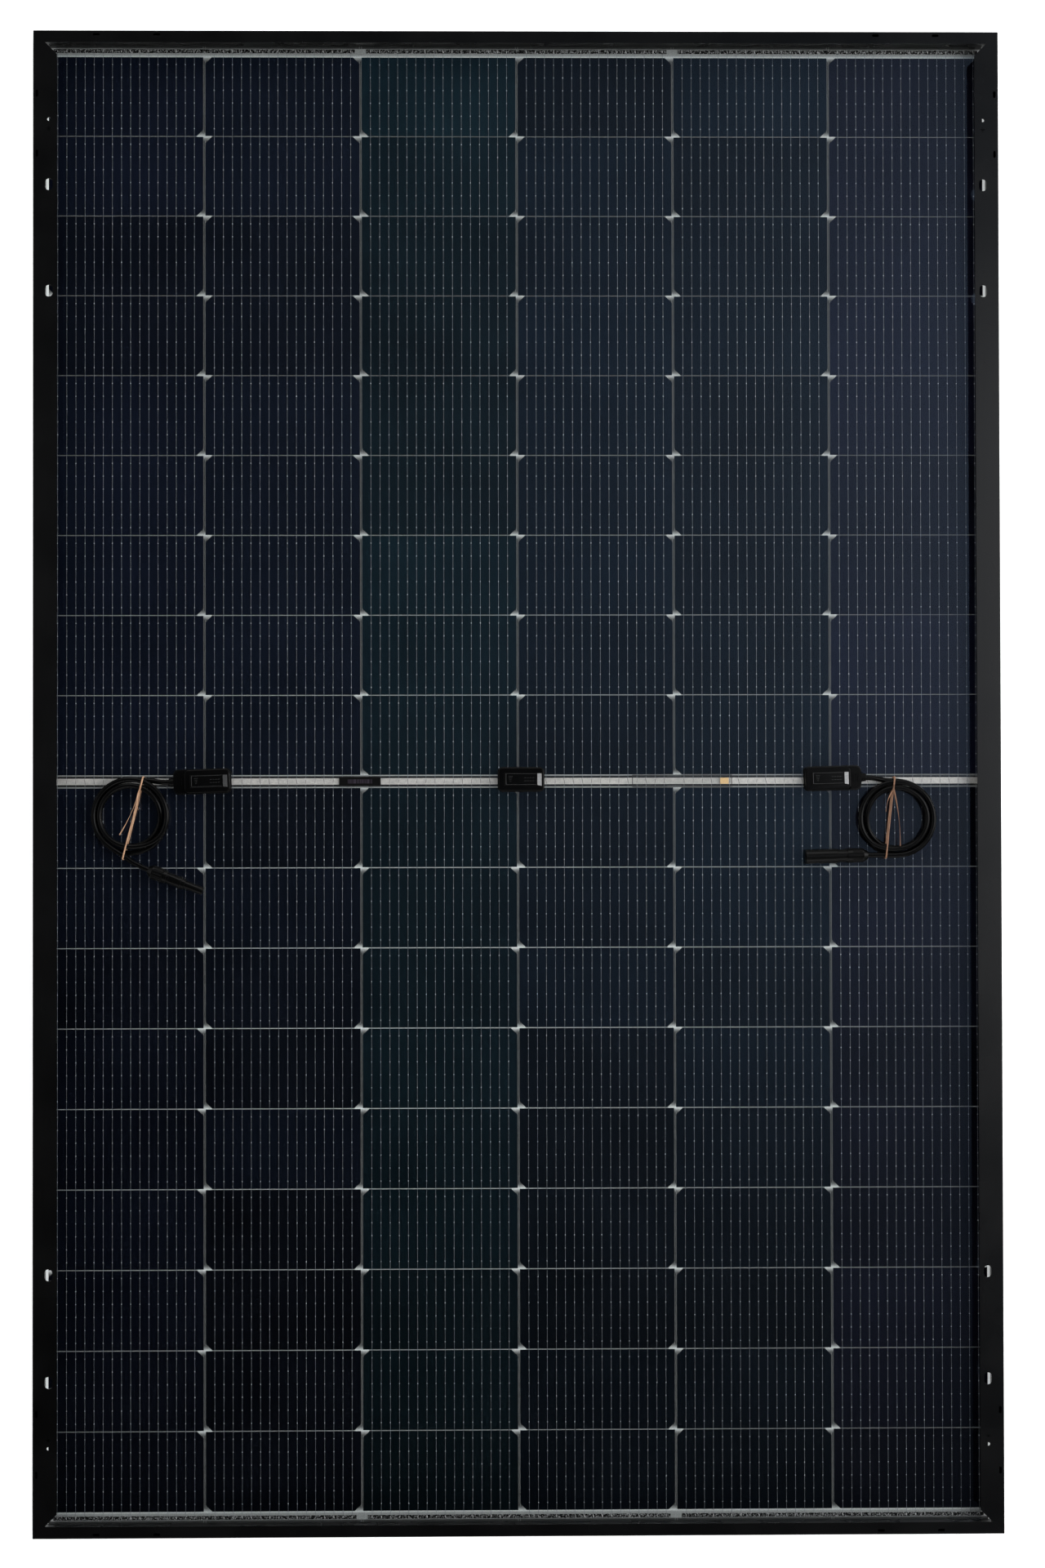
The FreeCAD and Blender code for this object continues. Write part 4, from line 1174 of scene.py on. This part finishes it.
@dataclass
class BusBand:
    """The bus ribbons with their solder joints, the insulation strip and the two labels."""

    wires: int = 16
    wire_pitch: float = 10.75 * MM
    columns: int = 6
    column_pitch: float = 184.7 * MM
    end_joint: tuple[float, float, float] = (0.42 * MM, 1.8 * MM, 0.1 * MM)
    middle_joint: tuple[float, float, float] = (0.3 * MM, 3.525 * MM, 0.1 * MM)
    lean: float = 0.28
    swell: tuple[float, float] = (0.7, 1.25)
    label_edge: float = 0.7 * MM
    tape: tuple[float, float, float] = (9 * MM, 5 * MM, 3.6 * MM)

    def tree(self) -> Tree:
        """The tree that puts a solder joint on a ribbon wherever a wire meets it."""
        t = Tree("solder_joints")
        wires = t.value("Wires", "Int", self.wires)
        pitch = t.value("Wire pitch", "Float", self.wire_pitch)
        columns = t.value("Columns", "Int", self.columns)
        column_pitch = t.value("Column pitch", "Float", self.column_pitch)
        size = t.value("Joint size", "Vector", (0.5 * MM, 2.0 * MM, 0.1 * MM))
        middle = t.value("Middle", "Vector", (0, 0, 0))
        seed = t.value("Seed", "Int", 4)
        joint_finish = t.value("Joint finish", "Material")
        group = t.middle_row(wires, pitch)
        spots = t.realize(t.repeat(t.middle_row(columns, column_pitch), group))
        moved = t.add("Transform", Geometry=spots, Translation=middle).outputs[0]
        turn = t.random(-self.lean, self.lean, seed)
        swell = t.random(*self.swell, seed)
        lumps = t.repeat(moved, t.ball(8, 5, size), swell)
        turned = t.add("RotateInstances", Instances=lumps, Rotation=t.vector(0.0, 0.0, turn))
        t.finish(t.paint(t.realize(turned.outputs[0]), joint_finish))
        return t

    def ribbons(self, node: str, finish: str, tree: Tree, finishes: Finishes) -> None:
        """Builds one set of ribbons over its CAD node, with joints on top.

        Args:
            node: The CAD node.
            finish: The ribbon's finish.
            tree: The solder joint tree.
            finishes: The materials.
        """
        end = "middle" not in node
        solder = finishes["end_solder" if end else "solder"]
        joint = self.end_joint if end else self.middle_joint
        low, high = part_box(node)
        joints = tree.grown(
            bpy.data.meshes.new("none"),
            Middle=(0.0, (low.y + high.y) / 2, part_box("bus_ribbons_upper")[1].z - 0.02 * MM),
            Joint_size=joint,
            Seed=len(node),
            Joint_finish=solder,
        )
        bm = bmesh.new()
        bm.from_mesh(cleaned_copy(node))
        before = len(bm.faces)
        bm.from_mesh(joints)
        bm.faces.ensure_lookup_table()
        for face in bm.faces[before:]:
            face.material_index = 1
            face.smooth = True
        joined = bpy.data.meshes.new(node)
        bm.to_mesh(joined)
        bm.free()
        for material in (finishes[finish], solder):
            joined.materials.append(material)
        stand_in(node, joined, BODY)

    def labels(self, finishes: Finishes) -> None:
        """Builds the black label and the clear label with its raised edge."""
        low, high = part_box("barcode_label")
        bm = bmesh.new()
        slab(bm, low, high, inset=0.3 * MM)
        uv = bm.loops.layers.uv.new("label")
        size = high - low
        for face in bm.faces:
            for loop in face.loops:
                at = loop.vert.co - low
                loop[uv].uv = (at.x / size.x, at.y / size.y)
        mesh = mesh_of(bm, "black_label", finishes["barcode"])
        stand_in("barcode_label", mesh, BODY)
        low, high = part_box("rating_label")
        edge = Vector((self.label_edge, self.label_edge, 0))
        (x0, y0, _), (x1, y1, _) = low + edge, high - edge
        bm = bmesh.new()
        corners = ((x0, y0), (x1, y0), (x1, y1), (x0, y1))
        bm.faces.new([bm.verts.new((x, y, high.z - 0.06 * MM)) for x, y in corners])
        from_end, half_x, half_y = self.tape
        patch = high.x - from_end
        for a, b, c, d, material in (
            (low.x, low.y, high.x, y0, 1),
            (low.x, y1, high.x, high.y, 1),
            (low.x, y0, x0, y1, 1),
            (x1, y0, high.x, y1, 1),
            (patch - half_x, -half_y, patch + half_x, half_y, 2),
        ):
            slab(bm, (a, b, low.z), (c, d, high.z), material)
        coats = [finishes[name] for name in ("clear_label", "label_edge", "tape")]
        stand_in("rating_label", mesh_of(bm, "clear_label", *coats), BODY)

    def build(self, finishes: Finishes) -> None:
        """Builds every ribbon, the strip's finish and the labels."""
        tree = self.tree()
        self.ribbons("bus_ribbons_upper", "end_ribbon", tree, finishes)
        self.ribbons("bus_ribbons_lower", "end_ribbon", tree, finishes)
        self.ribbons("bus_ribbons_middle", "ribbon", tree, finishes)
        dress_node("insulation_strip", finishes["strip"])
        self.labels(finishes)
        LOG.info("bus band")


@dataclass
class Laminate:
    """The glass sheets, the clear encapsulant films between them and the edge sealant."""

    film_inset: float = 0.02 * MM
    gap_depth: float = 0.07 * MM

    def film(
        self,
        node: str,
        low_z: float,
        high_z: float,
        finishes: Finishes,
        gap_z: float | None = None,
    ) -> None:
        """Builds a clear film inside the room that its CAD node takes up.

        Args:
            node: The CAD node.
            low_z: The film's underside.
            high_z: The film's top.
            finishes: The materials.
            gap_z: The level of the sheet that shows between the cells, or None for no sheet.
        """
        low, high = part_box(node)
        bm = bmesh.new()
        if gap_z is None:
            slab(bm, Vector((low.x, low.y, low_z)), Vector((high.x, high.y, high_z)))
        else:
            corners = [(low.x, low.y), (high.x, low.y), (high.x, high.y), (low.x, high.y)]
            for z, material in ((high_z, 0), (gap_z, 1)):
                sheet = bm.faces.new([bm.verts.new((x, y, z)) for x, y in corners])
                sheet.material_index = material
        mesh = mesh_of(bm, node, finishes["encapsulant"], finishes["gap"])
        stand_in(node, mesh, BODY)

    def build(self, finishes: Finishes) -> None:
        """Dresses the glass and the sealant, and lays the films."""
        dress_node("rear_glass", finishes["glass"])
        dress_node("front_glass", finishes["glass"])
        dress_node("edge_sealant", finishes["silicone"])
        ribbon_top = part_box("bus_ribbons_upper")[1].z
        glass_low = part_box("rear_glass")[0].z
        self.film(
            "rear_encapsulant",
            ribbon_top + 2 * self.film_inset,
            glass_low - self.film_inset,
            finishes,
            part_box("rear_encapsulant")[0].z + self.gap_depth,
        )
        glass_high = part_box("front_glass")[1].z
        cell_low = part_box("cell_string_1_upper")[0].z
        self.film(
            "front_encapsulant", glass_high + self.film_inset, cell_low - self.film_inset,
            finishes,
        )
        LOG.info("laminate")


# Frame


@dataclass
class FrameProfiles:
    """The four profiles with rounded edges, and the earth marks engraved on their flanges."""

    rounding: float = 0.25 * MM
    earth_from_end: float = 104.5 * MM
    slot_inset: float = 18.5 * MM
    mark_offset: float = 10.5 * MM
    mark_height: float = 0.04 * MM

    def earth_mark(self, bm: bmesh.types.BMesh, x: float, y: float, z: float) -> None:
        """Adds one earth symbol: a stem on three shrinking bars."""
        thin, top = 0.45 * MM, z + self.mark_height
        slab(bm, (x - thin / 2, y, z), (x + thin / 2, y + 2.6 * MM, top))
        for i in range(3):
            half, high = (2.8 - 0.85 * i) * MM, y - i * 1.1 * MM
            slab(bm, (x - half, high - thin, z), (x + half, high, top))

    def marks(self, finishes: Finishes) -> None:
        """Builds the four earth marks."""
        low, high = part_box("frame_long_left")
        bm = bmesh.new()
        for x in (low.x + self.slot_inset, -low.x - self.slot_inset):
            for side in (-1, 1):
                y = side * (high.y - self.earth_from_end - self.mark_offset)
                self.earth_mark(bm, x, y, high.z - self.mark_height)
        place(mesh_of(bm, "earth_marks", finishes["mark"]), "earth_marks", BODY)

    def build(self, finishes: Finishes) -> None:
        """Builds the profiles, the keys' finish and the marks."""
        for part in ("long_left", "long_right", "short_upper", "short_lower"):
            finish = finishes[part.split("_")[0] + "_frame"]
            mesh = softened("frame_" + part, self.rounding, finish)
            stand_in("frame_" + part, mesh, BODY)
        dress_node("corner_keys", finishes["key"])
        self.marks(finishes)
        LOG.info("frame profiles")


# Junction boxes


@dataclass
class JunctionBox:
    """One junction box: pad, base, lid with its panel and bevel, diode and terminals."""

    name: str
    degrees: float
    panel: tuple[float, float] = (38.0 * MM, 14.5 * MM)
    rounding: float = 0.5 * MM

    def frame_of(self) -> tuple[Matrix, float]:
        """The box's own axes at its lid's middle, and the height of its raised panel."""
        low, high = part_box(self.name + "_box_lid")
        middle = (low + high) / 2
        turn = Matrix.Rotation(math.radians(self.degrees), 4, "Z")
        return Matrix.Translation((middle.x, middle.y, 0)) @ turn, high.z

    def lid_trim(self, finishes: Finishes, body: str) -> bpy.types.Object:
        """The panel's frame lines and a few short printed strokes."""
        here, top = self.frame_of()
        half_x, half_y = self.panel[0] / 2, self.panel[1] / 2
        line, edge = 0.22 * MM, 1 * MM
        strokes = [
            (edge - half_x, half_y - edge, half_x - 1.5 * MM, half_y - edge + line),
            (edge - half_x, edge - half_y, half_x - 1.5 * MM, edge - half_y + line),
            (edge - half_x, edge - half_y, edge - half_x + 2 * line, half_y - edge),
        ]
        for i in range(4):
            x, y = -half_x + 4 * MM + i * 0.5 * MM, 3.4 * MM - i * 2.0 * MM
            strokes.append((x, y, x + (5 - i) * MM, y + line))
        for i in range(4):
            x = half_x - 15 * MM + i * 3.1 * MM
            for y in (1.6 * MM, -2.0 * MM):
                strokes.append((x, y, x + 1.8 * MM, y + 0.3 * MM))
        bm = bmesh.new()
        for x0, y0, x1, y1 in strokes:
            slab(bm, (x0, y0, top), (x1, y1, top + 0.05 * MM))
        mesh = mesh_of(bm, self.name + "_print", finishes["print"])
        mesh.transform(here)
        return place(mesh, self.name + "_box_print", body)

    def paint_bevel_highlight(self, mesh: bpy.types.Mesh) -> None:
        """Gives the panel's sloping end its own finish, a painted highlight."""
        back = self.frame_of()[0].inverted()
        for face in mesh.polygons:
            lean = (back.to_3x3() @ face.normal).x
            beyond = (back @ face.center).x > self.panel[0] / 2
            if 0.15 < lean < 0.6 and beyond and face.area > 20 * MM * MM:
                face.material_index = 1

    def build(self, finishes: Finishes) -> None:
        """Builds the box's pieces."""
        cover, box = self.name + "_cover", self.name + "_box_"
        base = softened(box + "base", self.rounding, finishes["box"])
        stand_in(box + "base", base, BODY)
        # The sloping end gets a painted highlight, dimmer on the left box, far from the light.
        bevel = finishes["dim_bevel_highlight" if self.name == "left" else "bevel"]
        lid = softened(box + "lid", self.rounding, finishes["box"], bevel)
        self.paint_bevel_highlight(lid)
        stand_in(box + "lid", lid, cover)
        if self.name != "middle":
            gland = softened(box + "gland", 0.3 * MM, finishes["box"])
            stand_in(box + "gland", gland, BODY)
        pad = softened(box + "pad", 0.38 * MM, finishes["silicone"], segments=3)
        stand_in(box + "pad", pad, BODY)
        dress_node(box + "diode", finishes["diode"])
        dress_node(box + "terminals", finishes["copper"])
        self.lid_trim(finishes, cover)
        LOG.info("%s junction box", self.name)


# Assembly

LEFT_LEAD = Lead(
    side=Side.LEFT,
    exit_route=[(-386.5, -0.25, 12.5), (-417.5, -1.3, 12.5), (-431.5, 1.5, 11.1)],
    coil_at=(-455.6 * MM, -40.6 * MM),
    turns=3.408,
    tail_route=[(-461.6, -87.8, 16.5), (-446.5, -99.0, 15.2), (-410.2, -113.3, 15.2)],
    length=0.97,
    tie_degrees=-14.0,
    tie_reach=(49.0, 51.4),
    tie_shift=4.2 * MM,
    free_end=(-10.0, -58.0),
    tie_finish="tie",
)
RIGHT_LEAD = Lead(
    side=Side.RIGHT,
    exit_route=[(386.5, 3.05, 12.5), (417.5, 3.9, 12.5), (431.5, -0.2, 11.1)],
    coil_at=(447.1 * MM, -44.6 * MM),
    turns=3.5,
    tail_route=[(424.8, -87.7, 15.4), (385.8, -88.7, 15.4)],
    length=0.97,
    tie_degrees=-6.4,
    tie_reach=(48.6, 48.8),
    tie_shift=-9.0 * MM,
    free_end=(15.0, -66.0),
    tie_finish="dark_tie",
)


def main() -> None:
    """Builds the module and its studio, piece by piece."""
    logging.basicConfig(level=logging.INFO, format="%(name)s: %(message)s")
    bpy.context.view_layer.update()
    finishes = Finishes()
    Studio().build()
    plug = Connector("plug", "plug_cap").build(finishes)
    socket = Connector("socket", "socket_cap").build(finishes)
    LEFT_LEAD.build(finishes, plug)
    RIGHT_LEAD.build(finishes, socket)
    FrameProfiles().build(finishes)
    Laminate().build(finishes)
    CellField().build(finishes)
    BusBand().build(finishes)
    for name, degrees in (("left", 2.0), ("middle", 0.0), ("right", 1.5)):
        JunctionBox(name, degrees).build(finishes)


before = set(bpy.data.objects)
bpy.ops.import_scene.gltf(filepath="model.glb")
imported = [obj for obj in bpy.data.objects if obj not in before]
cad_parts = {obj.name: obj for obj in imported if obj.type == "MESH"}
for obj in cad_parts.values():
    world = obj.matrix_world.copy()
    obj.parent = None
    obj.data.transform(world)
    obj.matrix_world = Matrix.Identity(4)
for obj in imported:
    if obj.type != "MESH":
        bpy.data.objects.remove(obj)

if __name__ == "__main__":
    main()
